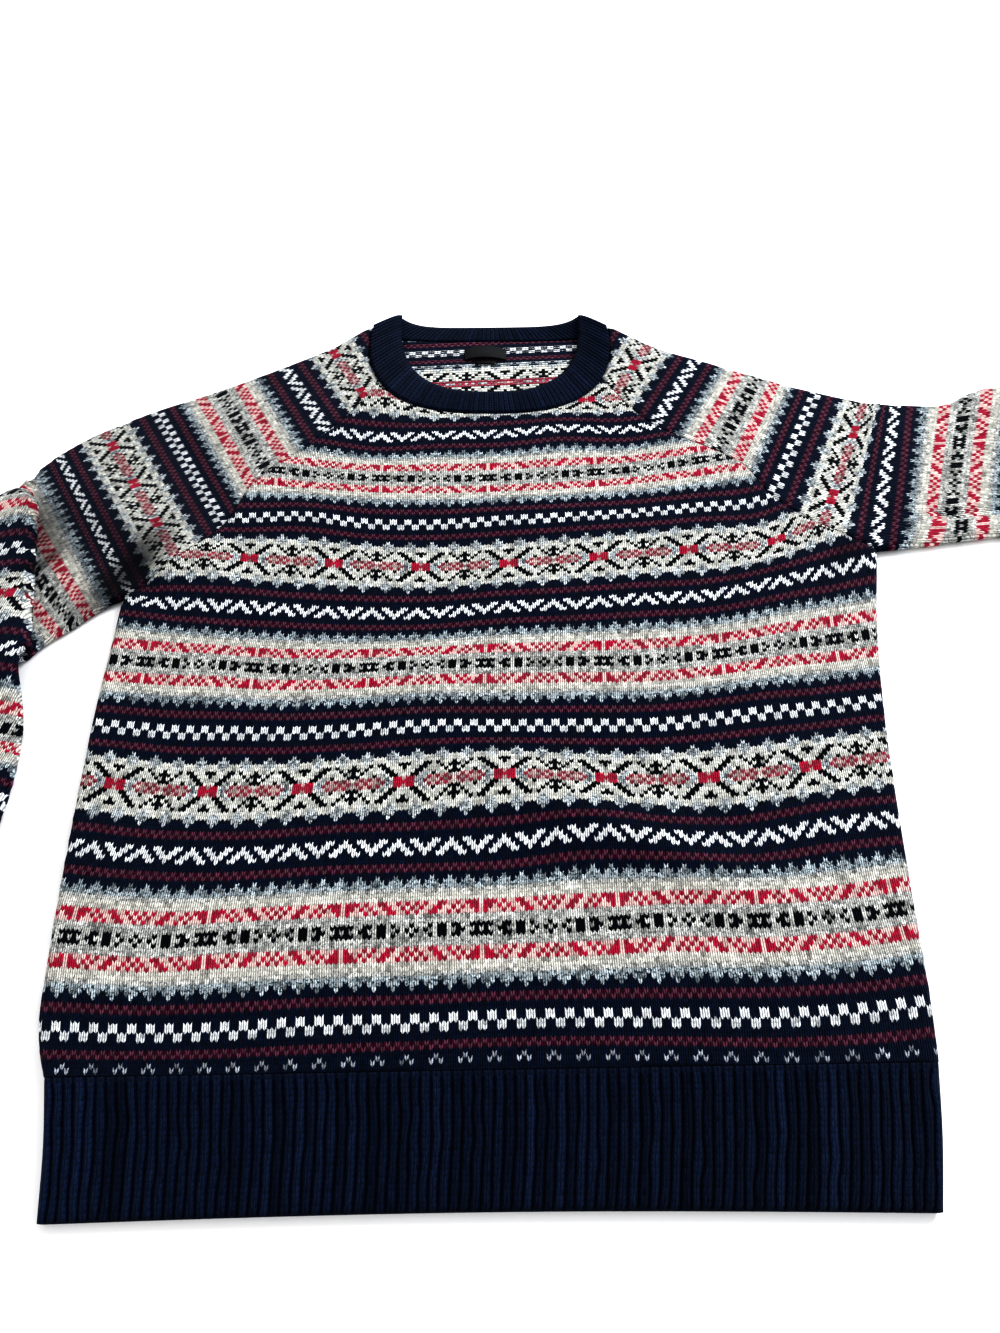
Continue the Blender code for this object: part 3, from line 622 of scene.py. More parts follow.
def mend(piece, turn_out=False):
    """Merge the points that two layers share in a fold, or turn a closed ring's faces outwards."""
    shape = bmesh.new()
    shape.from_mesh(piece.data)
    if turn_out:
        bmesh.ops.recalc_face_normals(shape, faces=shape.faces)
    else:
        bmesh.ops.remove_doubles(shape, verts=shape.verts, dist=MERGE_DISTANCE * MM)
    shape.to_mesh(piece.data)
    shape.free()


def triangles(piece):
    """The piece's triangles, with its modifiers applied."""
    evaluated = piece.evaluated_get(bpy.context.evaluated_depsgraph_get()).to_mesh()
    evaluated.calc_loop_triangles()
    count = len(evaluated.loop_triangles)
    piece.evaluated_get(bpy.context.evaluated_depsgraph_get()).to_mesh_clear()
    return count


def give_wall(piece, thickness=WALL, materials=(KNIT, PURL)):
    """Thickness inwards, with the last material on the inner face."""
    wall = piece.modifiers.new("wall", "SOLIDIFY")
    wall.thickness = thickness * MM
    wall.offset = -1.0
    wall.material_offset = len(materials) - 1
    wall.material_offset_rim = 0
    for material in materials:
        piece.data.materials.append(material)


print("wall:", WALL, "mm thick, points merge within", MERGE_DISTANCE, "mm")

# %% Colours of the stitches
LETTERS = list(YARNS)
UNEVENNESS = 0.12  # of the dye from stitch to stitch
MARL_UNEVENNESS = 0.22
DYE_RANGE = (0.45, 1.6)
# Behind the band of crosses the rose yarn passes from stitch to stitch
BEHIND_CROSSES = dict.fromkeys("OPRMT", "P")


def yarn_colours(letters):
    """Four numbers for each stitch: its yarn's colour, a little lighter or darker by chance, and more so
    in marl, and the share of dark streaks."""
    number = np.searchsorted(sorted(LETTERS), letters)
    table = np.array([(*YARNS[letter], MARLED.get(letter, 0.0)) for letter in sorted(LETTERS)])
    colours = table[number]
    spread = UNEVENNESS + MARL_UNEVENNESS * colours[..., 3:]
    colours[..., :3] *= np.clip(1 + spread * chance.standard_normal(letters.shape)[..., None], *DYE_RANGE)
    return colours


def stitch_colours(rows, columns):
    """Tables rows x columns x 4 for a stitch, the one below it, and the float that passes behind it: the
    other yarn of its row, but between the crosses the rose yarn, and beside them the same one."""
    tall = np.r_[rows[0] - 1, rows]
    letters = chart_letters(tall, columns)
    colours = yarn_colours(letters)
    other = letters.copy()
    for line in other:
        kinds = sorted(set(line.tolist()))
        swaps = dict(zip(kinds, kinds[1:] + kinds[:1]))
        if "O" in kinds:
            swaps = BEHIND_CROSSES if "P" in kinds else dict(zip(kinds, kinds))
        line[:] = [swaps[letter] for letter in line]
    return {"own": colours[1:], "below": colours[:-1], "reverse": yarn_colours(other)[1:]}


def in_shadow(colours, light):
    """The stitches' colours where only a share of the light reaches them."""
    # Painted shade: the colours are darkened by the share of the light
    share = np.dstack((light, light, light, np.ones_like(light)))
    return {key: table * share for key, table in colours.items()}


print("yarn letters:", "".join(LETTERS))

# %% [markdown]
# ## Front and back
#
# The stripes aren't straight: the cloth was spread by hand, so each row waves a little. A table gives the
# height of sixteen rows at eleven places across, measured up from a line 425 mm below the origin, and the
# rows between follow smoothly. The columns of stitches run up the piece and widen towards the chest. The
# back's rows follow the front's at the sides, where they meet, and have their own heights in the neck. A
# cloth simulation could lay the panels too, but it would put the waves in places of its own.

# %% Seams and rows of the body
RIGHT_SIDE = ((-240, -292), (-248, -273), (-253, -246), (-260, -175), (-267, -75), (-271, 35))
LEFT_SIDE = ((233, -284), (237, -252), (243, -175), (252.5, -75), (264.5, 5), (281, 82))
RIGHT_RAGLAN = ((-271, 35), (-236, 74), (-208, 110), (-193, 153), (-152, 201), (-125, 236), (-104, 279))
LEFT_RAGLAN = ((281, 82), (242, 108), (211, 138), (190, 178), (130, 218), (105, 250), (86, 285))
RIGHT_BACK_RAGLAN = ((-271, 35), (-225, 105), (-160, 230), (-101, 338))
LEFT_BACK_RAGLAN = ((281, 82), (230, 140), (150, 240), (83, 338))
NECK_X = -9.0
SHOULDER_Y = 345.0
NECK_HALF_WIDTH = 106.5
NECK_DEPTH = 110.0
NECK_POWER = 2.7
BACK_SEAM_DROP = 8.5
FAR = 900.0  # beyond every piece
SIDE_POINTS, SEAM_POINTS = 30, 40  # along each side and each raglan

BASE_Y = -425.0
STATIONS = (-250, -200, -150, -100, -50, 0, 50, 100, 150, 200, 250)
STRIPE_ROWS = (-12, -6, 2, 21.5, 41, 57.5, 74, 93.5, 113, 120, 129.5, 146, 165.5, 185, 201.5, 237.5)
STRIPES = (
    (123, 123, 123.5, 125, 127, 129, 129.5, 129, 128.5, 130, 134),
    (138, 138, 138.5, 140.5, 142.5, 144.4, 145, 144.6, 143.8, 145.5, 150),
    (157.5, 156, 157, 160, 161.3, 163.5, 164.5, 164, 164, 167, 173),
    (210, 206.2, 209, 210.6, 212.5, 214.4, 216.6, 219.6, 218.4, 221.6, 229),
    (264.5, 259, 260, 263.8, 265.3, 267.8, 273, 269.4, 270.6, 279.4, 285),
    (310, 303.3, 303.2, 307.3, 311, 315, 313, 312.3, 314.5, 322, 329),
    (350.6, 345.6, 345, 347.5, 351.3, 351.7, 352, 352.4, 357.5, 363.8, 371),
    (404, 399.8, 397.3, 398, 401, 402.6, 403.7, 404.8, 410, 417, 425.5),
    (457, 451, 448, 445.6, 445.8, 451.3, 454.4, 458.8, 462, 473, 488),
    (474, 471, 468, 465, 464.3, 469.2, 472.8, 477.3, 481, 490, 510),
    (498, 498.5, 495, 491.3, 489.2, 492.4, 497, 502, 507, 513, 540),
    (543, 538, 539, 531.4, 531, 534.7, 538, 542.5, 549.5, 556.5, 585),
    (598, 594, 586.5, 581.7, 580.8, 582.5, 586.8, 591.5, 600.5, 612, 632),
    (650, 645, 640, 629.6, 632.2, 634, 641, 639, 650, 660, 675),
    (690, 690, 688, 685, 672, 676, 676, 680, 690, 700, 700),
    (787, 787, 785, 782, 770, 773, 773, 778, 787, 797, 797),
)
# The back's rows: height at the right and the left end of the table
BACK_STRIPES = {201.5: (689, 723), 213: (721, 755), 218: (732, 766), 223: (744, 778), 237.5: (804, 838)}
CHEVRON_DROP = 1.3  # a leg climbs, so a row's colour shows this much above its own line
COLUMN_X = 3.0
GAUGE_ROWS = (-6, 21.5, 57.5, 93.5, 129.5, 165.5, 201.5)
GAUGE = (2.57, 2.63, 2.61, 2.65, 2.71, 2.78, 2.78)
# How far the front's columns lean to the wearer's left: rows of the table, then a line for each
LEAN_ROWS = (2, 21.5, 57.5, 93.5, 129.5, 165.5)
LEANS = (
    (4.2, 3.8, 1.6, 0.4, 0.2, 0.6, 1.6, 1.7, 3.7, 6.1, 7.5),
    (1, 0, 0, -2.3, -2, -1.7, -1.7, -1.3, -0.6, 0, 0.5),
    (5, 3, -1.5, -2.9, -2, -1.5, -0.8, 0.6, 2.6, 5, 6),
    (6, 3, 0, -0.5, -1, -1.4, -0.3, 0.8, 2, 2, 2),
    (7, 6.5, 4.5, 2.7, 2.6, 2, 3, 4.2, 6, 7, 8),
    (0, 0, -0.5, -0.8, -0.4, 0, 1.3, 2.2, 2.5, 3, 3),
)
FINE_STEP = 4.0
SEAM_DIP = 1.1
SEAM_SOFTNESS = 2.2
BODY_ROWS = np.arange(-10, 232)
BODY_COLUMNS = np.arange(-113, 114)
print("heights of", len(STRIPE_ROWS), "rows, measured at", len(STATIONS), "places across")


# %% Neck curves and seams
def superellipse(half_width, top_y, depth, count=400):
    """The U-shaped lower half of a superellipse round the neck, from the wearer's right to the left."""
    angle = np.linspace(-np.pi / 2, np.pi / 2, count)
    side, down = np.sin(angle), np.abs(np.cos(angle))
    x = NECK_X + half_width * np.sign(side) * np.abs(side) ** (2 / NECK_POWER)
    return np.column_stack((x, top_y - depth * down ** (2 / NECK_POWER)))


def back_neck_line(half_width, y, drop, count=200):
    """A shallow dish across the back neck, from the wearer's right to the left."""
    side = np.linspace(-1, 1, count)
    return np.column_stack((NECK_X + half_width * side, y - drop * (1 - side**4)))


def part_of(line, start, end):
    """The stretch of a line between the points nearest to start and end."""
    first = np.argmin(np.linalg.norm(line - start, axis=1))
    last = np.argmin(np.linalg.norm(line - end, axis=1))
    return line[first : last + 1] if first < last else line[last : first + 1][::-1]


FRONT_NECK = superellipse(NECK_HALF_WIDTH, SHOULDER_Y, NECK_DEPTH)
BACK_NECK = back_neck_line(NECK_HALF_WIDTH, SHOULDER_Y, BACK_SEAM_DROP)
SIDES = [smooth_line(side, SIDE_POINTS) for side in (RIGHT_SIDE, LEFT_SIDE)]


def signed_depth(line, far_points, x, y):
    """Distance to a line, above 0 inside the outline that it makes with the far points."""
    outline = np.vstack((line, far_points))
    return np.sign(depth_inside(outline, x, y)) * distance_from(line, x, y)


def edge_depth(start, end, x, y):
    """Distance to the straight line from start to end, above 0 on its left."""
    step = np.array(end, float) - np.array(start, float)
    step /= np.linalg.norm(step)
    return step[0] * (y - start[1]) - step[1] * (x - start[0])


def body_seam(raglans, neck):
    """From the right armpit up the raglan, round the neck and down to the left armpit."""
    right, left = (smooth_line(raglan, SEAM_POINTS) for raglan in raglans)
    return np.vstack((right, part_of(neck, right[-1], left[-1])[1:-1], left[::-1]))


def side_depth(x, y):
    """Distance from the nearer side seam, above 0 between them."""
    depths = []
    for side, far in zip(SIDES, (FAR, -FAR)):
        beyond = ((side[-1, 0], FAR), (far, FAR), (far, -FAR), (side[0, 0], -FAR))
        depths.append(signed_depth(side, beyond, x, y))
    return np.minimum(*depths)


FRONT_SEAM = body_seam((RIGHT_RAGLAN, LEFT_RAGLAN), FRONT_NECK)
BACK_SEAM = body_seam((RIGHT_BACK_RAGLAN, LEFT_BACK_RAGLAN), BACK_NECK)
print("chest at the armpits:", RIGHT_SIDE[-1][0], "to", LEFT_SIDE[-1][0], "mm")


# %% Plan places of the stitches
def body_grid(stripe_rows, stations, stripes, leans):
    """Plan places of the corners of the stitches. x grows by the gauge with each column, and leans. y
    comes from the table of stripes, smoothly across the stations and smoothly from row to row."""
    gauge = smooth_at(GAUGE_ROWS, GAUGE, BODY_ROWS)
    x = COLUMN_X + BODY_COLUMNS * gauge[:, None]
    leans = smooth_at(LEAN_ROWS, leans, np.clip(BODY_ROWS, LEAN_ROWS[0], LEAN_ROWS[-1]))
    x = x + np.array([np.interp(places, STATIONS, line) for places, line in zip(x, leans)])
    fine = np.arange(x.min(), x.max() + FINE_STEP, FINE_STEP)
    across = smooth_at(stations, np.array(stripes, float).T, fine)
    lines = BASE_Y - CHEVRON_DROP + smooth_at(stripe_rows, across.T, BODY_ROWS)
    return x, np.array([np.interp(places, fine, line) for places, line in zip(x, lines)])


front_grid = body_grid(STRIPE_ROWS, STATIONS, STRIPES, LEANS)
back_stripes = {row: (line[0], line[-1]) for row, line in zip(STRIPE_ROWS[:-2], STRIPES)} | BACK_STRIPES
back_grid = body_grid(list(back_stripes), STATIONS[::10], list(back_stripes.values()), 0.0 * np.array(LEANS))
print("stitches in the front's grid:", len(BODY_COLUMNS) - 1, "x", len(BODY_ROWS) - 1)


# %% The two panels
def rolled(depth, height):
    """Half the tube's thickness near a folded edge: a quarter circle in depth, then level."""
    share = np.clip(depth / (height / 2), 0, 1)
    return height / 2 * np.sqrt(1 - (1 - share) ** 2)


def faces_of(values, loops, totals, rows, columns, colours, upper):
    """The faces' corner numbers and counts, the places of their corners inside their own stitch, from 0
    to 1, and their yarns. An under layer's are in reverse order, so that its faces point down."""
    cell = np.repeat(np.column_stack((columns, rows)), totals, axis=0)
    parts = loops, totals, np.clip(values[loops, 2:4] - cell, 0, 1)
    yarns = {key: table[rows, columns] for key, table in colours.items()}
    if upper:
        return *parts, yarns
    return *(part[::-1] for part in parts), {key: table[::-1] for key, table in yarns.items()}


def body_panel(name, upper, grid, seam):
    """One flat panel of the body, in stitches, with its walls turned towards the other panel."""
    x, y = grid
    sides = side_depth(x, y)
    beyond = ((FAR, seam[-1, 1]), (FAR, -FAR), (-FAR, -FAR), (-FAR, seam[0, 1]))
    seams = signed_depth(seam, beyond, x, y)
    hem = edge_depth(SIDES[0][0], SIDES[1][0], x, y)
    depth = np.minimum(sides, np.minimum(seams, hem) - SEAM_GAP / 2)
    u, v = np.meshgrid(np.arange(len(BODY_COLUMNS)), np.arange(len(BODY_ROWS)))
    values, loops, totals, rows, columns = trim(np.stack((x, y, u, v, sides, seams), axis=-1), depth)
    height = laid_height(values[:, 0], values[:, 1])
    half = rolled(values[:, 4], height)
    dip = SEAM_DIP * np.exp(-((values[:, 5] / SEAM_SOFTNESS) ** 2))
    z = height / 2 + (half - dip + SEAM_GAP / 2 if upper else -half)
    colours = stitch_colours(BODY_ROWS[:-1], BODY_COLUMNS[:-1])
    # Painted shade of the deep folds, on the top layer's yarn colours
    if upper:
        colours = in_shadow(colours, light_left(x, y)[:-1, :-1])
    loops, totals, stitch, yarns = faces_of(values, loops, totals, rows, columns, colours, upper)
    piece = make_mesh(name, np.column_stack((values[:, :2], z)), loops, totals, stitch, yarns)
    give_wall(piece)
    print(name, "faces:", len(totals))
    return piece


front = body_panel("front_panel", True, front_grid, FRONT_SEAM)
back = body_panel("back_panel", False, back_grid, BACK_SEAM)

# %% [markdown]
# ## Sleeves
#
# A sleeve is a tube pressed flat. Its top layer is a grid of stitches like the front's, laid from a table
# of rows: the place of the grid's middle column, the direction of the row, and the stitch's width. The
# under layer is the same grid turned over, so both meet exactly in the folds and the tube is closed. A
# tapered cylinder pressed flat would be shorter to write, but its stitches would widen at the folds.

# %% Sleeve outlines and rows
SLEEVE_TIP = (-4.0, 8.0)  # from the neck seam's end: it reaches in under the band, and up
LEFT_FOLDS = (
    ((140, 322), (182, 302), (224, 282), (262, 264), (298, 252), (330, 247), (356, 245), (377, 247),
     (393, 256), (410, 261), (440, 264), (485, 266), (550, 270), (620, 277), (700, 285), (758, 289),
     (784, 285), (794, 281)),
    ((285, 83), (291, 83), (299, 84), (309, 86), (322, 88), (338, 91), (352, 93), (369, 96), (385, 98),
     (402, 101), (430, 105), (472, 110), (536, 121), (608, 134), (690, 149), (752, 163), (782, 178),
     (793, 188)),
)
LEFT_FOLDS_END = ((830, 271), (830, 225))  # beyond the cuff
LEFT_FOLDS_START = ((-60, 440), (-60, 60))  # inside the body
FOLD_POINTS = 120  # along each fold line
# row, x and height above the base line of the middle column, direction of the row in degrees, stitch width
LEFT_SLEEVE_ROWS = (
    (-44, 806, 662, 86, 2.7),
    (-38, 787, 661, 86, 2.7),
    (40, 545, 640, 78, 3.0),
    (88.5, 394, 637, 71, 3.2),
    (98.5, 362, 636, 71, 3.3),
    (113, 321, 636, 72, 3.4),
    (129.5, 290, 634, 66.5, 3.4),
    (146, 251, 647, 65.5, 3.2),
    (160.5, 220.6, 666, 64.5, 3.0),
    (170.5, 193.7, 686, 62.5, 2.9),
    (185, 157.7, 702, 62.5, 2.8),
    (205, 108, 724, 62, 2.8),
)
SLIDE = 9.0  # outwards, of the cloth below a crease across the sleeve
SLIDE_FROM = (300.0, 335.0)  # x at which the crease begins and where it has its full depth
SLIDE_BELOW = (121.0, 115.0)  # y over which the cloth slides
LEFT_ROWS = np.arange(-42, 226)
LEFT_COLUMNS = np.arange(-76, 24)
print("left sleeve: fold lines through", len(LEFT_FOLDS[0]), "and", len(LEFT_FOLDS[1]), "points")


# %% Sleeve seams and folds
def sleeve_grid(table, rows, columns):
    """Plan places: the middle column's place, then along the row's direction by the stitch width."""
    table = np.array(table, float)
    x, y, direction, gauge = smooth_at(table[:, 0], table[:, 1:], rows).T[..., None]
    turn = np.radians(direction)
    return x + columns * gauge * np.cos(turn), BASE_Y + y + columns * gauge * np.sin(turn)


def sleeve_seams(side, raglan, back_raglan):
    """The seam over the top and underneath, from the armpit up to the shoulder's tip."""
    tip = np.array((NECK_X + side * (NECK_HALF_WIDTH + SLEEVE_TIP[0]), SHOULDER_Y + SLEEVE_TIP[1]))
    corner = np.array((NECK_X + side * NECK_HALF_WIDTH, SHOULDER_Y))
    seams = []
    for seam, neck in ((raglan, FRONT_NECK), (back_raglan, BACK_NECK)):
        line = smooth_line(seam, SEAM_POINTS)
        seams.append(np.vstack((line, part_of(neck, line[-1], corner)[1:], tip)))
    return seams


def sleeve_seam_depths(side, seams, x, y):
    """Distance from the seam over the top and underneath, above 0 on the sleeve's side."""
    armpit, tip = seams[0][0], seams[0][-1]
    beyond = ((tip[0], FAR), (side * 2 * FAR, FAR), (side * 2 * FAR, -FAR), (armpit[0], -FAR))
    return [signed_depth(seam, beyond, x, y) for seam in seams]


def fold_depth(upper, lower, far_upper, far_lower, x, y):
    """Distance from the nearer of two fold lines, above 0 between them. The far points close the
    outline beyond the lines' first ends."""
    outline = np.vstack((upper, lower[::-1], [far_lower, far_upper]))
    sign = np.sign(depth_inside(outline, x, y))
    return sign * np.minimum(distance_from(upper, x, y), distance_from(lower, x, y))


print("each shoulder's tip lies", SLEEVE_TIP[1], "mm above the neck seam's end")


# %% A tube pressed flat
def tube(name, rows, columns, grid, folds, ends, seams, lift=0.0, tilt=0.0, lean=(0.0, 0.0), height=None):
    """Both layers of a flattened tube. grid is (x, y). folds is the distance from the folds, ends that
    from the cuff's seam, and seams those from the seam over the top and underneath. lift raises the
    tube's middle, and tilt turns it over towards lean."""
    u, v = np.meshgrid(np.arange(len(columns)), np.arange(len(rows)))
    colours = stitch_colours(rows[:-1], columns[:-1])
    x, y = grid
    # Painted shade of the deep folds, on the top layer's yarn colours
    colours = in_shadow(colours, light_left(x, y)[:-1, :-1])
    height = laid_height(x, y) if height is None else height
    shape = np.broadcast_to
    layers = []
    for upper, seam in ((True, seams[0]), (False, seams[1])):
        depth = np.minimum(folds, np.minimum(ends, seam - SEAM_GAP / 2))
        fields = [shape(part, x.shape) for part in (x, y, u, v, folds, seam, height, lift, tilt)]
        values, loops, totals, face_rows, face_columns = trim(np.stack(fields, axis=-1), depth)
        px, py, _, _, fold, near, thick, raised, turn = values.T
        half = rolled(fold, thick)
        dip = SEAM_DIP * np.exp(-((near / SEAM_SOFTNESS) ** 2)) if upper else 0.0
        way = 1.0 if upper else -1.0
        slide = np.sin(turn) * (half - dip)
        z = thick / 2 + raised + way * np.cos(turn) * (half - dip)
        points = np.column_stack((px - way * slide * lean[0], py - way * slide * lean[1], z))
        faces = faces_of(values, loops, totals, face_rows, face_columns, colours, upper)
        layers.append((points, *faces))
    top, under = layers
    loops = np.r_[top[1], under[1] + len(top[0])]
    points, stitch = (np.vstack((top[part], under[part])) for part in (0, 3))
    yarns = {key: np.vstack((top[4][key], under[4][key])) for key in top[4]}
    piece = make_mesh(name, points, loops, np.r_[top[2], under[2]], stitch, yarns)
    mend(piece)
    give_wall(piece)
    print(name, "faces:", len(piece.data.polygons))
    return piece


# %% Left sleeve
x, y = sleeve_grid(LEFT_SLEEVE_ROWS, LEFT_ROWS, LEFT_COLUMNS)
out = smooth_step((x - SLIDE_FROM[0]) / (SLIDE_FROM[1] - SLIDE_FROM[0]))
x = x + SLIDE * out * smooth_step((y - SLIDE_BELOW[0]) / (SLIDE_BELOW[1] - SLIDE_BELOW[0]))
seams = sleeve_seams(1, LEFT_RAGLAN, LEFT_BACK_RAGLAN)
upper = np.vstack((seams[0][-1], smooth_line(LEFT_FOLDS[0], FOLD_POINTS), LEFT_FOLDS_END[0]))
lower = np.vstack((seams[0][0], smooth_line(LEFT_FOLDS[1], FOLD_POINTS), LEFT_FOLDS_END[1]))
folds = fold_depth(upper, lower, *LEFT_FOLDS_START, x, y)
ends = edge_depth(LEFT_FOLDS[1][-1], LEFT_FOLDS[0][-1], x, y)
depths = sleeve_seam_depths(1, seams, x, y)
left_sleeve = tube("left_sleeve_knit", LEFT_ROWS, LEFT_COLUMNS, (x, y), folds, ends, depths)

# %% [markdown]
# ## The bent sleeve
#
# The right sleeve bends down at the elbow. The cloth on the inside of the bend is too long, so it turns
# under in a deep pleat: the flattened tube goes past the fold line, turns over, runs back, turns again and
# goes on as the forearm, on top. Upper arm and forearm are two tables of rows. In each column of stitches
# the rows between them follow the pleat's path.

# %% Tables of the bent sleeve
RIGHT_FOLDS = (
    ((-148, 322), (-186, 297), (-226, 272), (-265, 249), (-300, 230), (-331, 208), (-352, 187), (-368, 168)),
    ((-274, 33), (-279, 30), (-286, 24), (-294, 16), (-302, 8), (-311, 0), (-319, -9), (-325, -18)),
)
RIGHT_FOLDS_START = ((60, 440), (60, 20))  # inside the body
FOREARM_FOLDS = (
    ((-368, 168), (-388, 125), (-411, 82), (-436, 34), (-456, -20), (-466, -80), (-466, -140),
     (-459, -192), (-449, -229), (-440, -244)),
    ((-325, -18), (-323, -32), (-315, -60), (-309, -92), (-307, -127), (-309, -162), (-314, -194),
     (-323, -220), (-335, -238), (-344, -246)),
)
FOREARM_FOLDS_END = ((-430, -275), (-354, -275))  # beyond the cuff
RIGHT_POINTS, FOREARM_POINTS = (60, 40), 90  # along each fold line
RIGHT_SLEEVE_ROWS = (
    (55, -445, 418, -33, 2.2),
    (74, -407, 467, -40, 2.2),
    (88.5, -377, 500, -47, 2.2),
    (98.5, -356, 532, -54, 2.15),
    (107, -330.8, 549.5, -58.5, 2.15),
    (113, -322.4, 554.9, -58.5, 2.15),
    (118.5, -312.5, 560.5, -58.5, 2.15),
    (129.5, -287.5, 575.5, -58.5, 2.13),
    (146, -253, 603, -59.5, 2.2),
    (160.5, -220, 618, -61, 2.3),
    (170.5, -194, 641, -61.5, 2.35),
    (185, -157, 663, -61, 2.4),
    (205, -110, 692, -61, 2.4),
)
FOREARM_ROWS = (
    (-44, -392, 168, -2, 2.7),
    (-38, -392, 187, -3, 2.7),
    (2, -380, 308, -10, 2.8),
    (21.5, -370, 355, -8, 2.85),
    (41, -358, 405, 0, 2.9),
    (57.5, -350, 453, 7, 2.9),
    (74, -345, 498, 12, 2.9),
    (88.5, -340, 550, 14, 2.9),
    (98.5, -335, 587, 14, 2.9),
    (112, -330, 632, 14, 2.9),
)
PLEAT_DEPTH = 42.0
PLEAT_STARTS = 0.26  # share of the fold line where the cloth has turned right over
PLEAT_HEIGHT = 5.4
PLEAT_RADIUS = 3.0
PLEAT_SETTLE = 62.0  # distance in which the forearm comes down to the floor
PLEAT_CREEP = 12.0  # length of the path where the cloth doesn't turn over
PLEAT_DEEPENS = 1.3
PLEAT_SLACK = 4.0  # of the forearm before its crease
PAST_ELBOW = 70.0  # length by which each part's folds go on under the other
PRESSED_LENGTH = 12.0  # along the sleeve on either side of the pleat
ROW_HEIGHT = 3.07
RIGHT_ROWS = np.arange(-42, 226)
RIGHT_COLUMNS = np.arange(-48, 66)
print("rows measured:", len(RIGHT_SLEEVE_ROWS), "on the upper arm,", len(FOREARM_ROWS), "on the forearm")

# %% The pleat's path
elbow_outer, elbow_inner = (np.array(line[-1], float) for line in RIGHT_FOLDS)
elbow = elbow_inner - elbow_outer
across_elbow = np.array((elbow[1], -elbow[0])) / np.linalg.norm(elbow)


def elbow_place(x, y):
    """Share of the way along the fold line, from the outer to the inner elbow, and distance past it."""
    right, up = x - elbow_outer[0], y - elbow_outer[1]
    share = (right * elbow[0] + up * elbow[1]) / (elbow @ elbow)
    return share, right * across_elbow[0] + up * across_elbow[1]


def pleat_path(share, progress):
    """Distance past the fold line, rise and turn at a progress from 0 to 1 along the pleat's path: an arc
    that turns the cloth over, a straight run back, and a second arc that turns it upright again."""
    share = np.clip(share, 0, 1)
    turn = np.pi * smooth_step(share / PLEAT_STARTS)
    depth = PLEAT_DEPTH * np.clip((share - PLEAT_STARTS) / (1 - PLEAT_STARTS), 0, 1) ** PLEAT_DEEPENS
    travelled = progress * (2 * PLEAT_RADIUS * turn + depth)
    first = np.clip(travelled / PLEAT_RADIUS, 0, turn)
    back = np.clip(travelled - PLEAT_RADIUS * turn, 0, depth)
    second = np.clip((travelled - PLEAT_RADIUS * turn - depth) / PLEAT_RADIUS, 0, turn)
    run = depth + PLEAT_RADIUS * np.sin(first) + back * np.cos(turn)
    run += PLEAT_RADIUS * (np.sin(turn) - np.sin(turn - second))
    run += PLEAT_CREEP * progress * (1 - smooth_step(share / PLEAT_STARTS))
    rise = PLEAT_RADIUS * (1 - np.cos(first)) + back * np.sin(turn)
    rise += PLEAT_RADIUS * (np.cos(turn - second) - np.cos(turn))
    return run, rise, np.where(second > 0, turn - second, first)


def forearm_lift(x, y):
    """The forearm lies on the pleat and comes down to the floor beyond it, in an S-shaped slope."""
    share, run = elbow_place(x, y)
    top_rise = pleat_path(share, 1.0)[1]
    past_side = np.maximum(run - pleat_path(share, 0.0)[0] - PLEAT_RADIUS, 0)
    past_end = np.maximum(share - 1, 0) * np.linalg.norm(elbow)
    return top_rise * (1 - smooth_step(np.hypot(past_side, past_end) / PLEAT_SETTLE))


print(f"the fold line across the elbow is {np.linalg.norm(elbow):.0f} mm long")


# %% Where each column goes in and comes out
def two_rows(field, first):
    """Each column's field at a row of its own, and at the next."""
    return (np.take_along_axis(field, (first + step)[None], axis=0)[0] for step in (0, 1))


def last_past(field):
    """The row, with its fraction, at which each column's field falls below 0 on the way to the neck."""
    last = len(RIGHT_ROWS) - 2 - np.argmax(field[-2::-1] >= 0, axis=0)
    here, there = two_rows(field, last)
    return RIGHT_ROWS[0] + last + np.clip(here / np.where(here > there, here - there, 1), 0, 1)


def at_row(field, row):
    """The field of each column, read at that column's own row."""
    places = np.clip(row - RIGHT_ROWS[0], 0, len(RIGHT_ROWS) - 1.001)
    first = places.astype(int)
    here, there = two_rows(field, first)
    return here + (places - first) * (there - here)


arm = sleeve_grid(RIGHT_SLEEVE_ROWS, RIGHT_ROWS, RIGHT_COLUMNS)
forearm = sleeve_grid(FOREARM_ROWS, RIGHT_ROWS, RIGHT_COLUMNS)
seams = sleeve_seams(-1, RIGHT_RAGLAN, RIGHT_BACK_RAGLAN)
past = across_elbow * PAST_ELBOW
upper = np.vstack((seams[0][-1], smooth_line(RIGHT_FOLDS[0], RIGHT_POINTS[0]), elbow_outer + past))
lower = np.vstack((seams[0][0], smooth_line(RIGHT_FOLDS[1], RIGHT_POINTS[1]), elbow_inner + past))
arm_folds = fold_depth(upper, lower, *RIGHT_FOLDS_START, *arm)
ends = zip(FOREARM_FOLDS, FOREARM_FOLDS_END)
upper, lower = (np.vstack((smooth_line(line, FOREARM_POINTS), end)) for line, end in ends)
forearm_folds = fold_depth(upper, lower, elbow_outer - past, elbow_inner - past, *forearm)

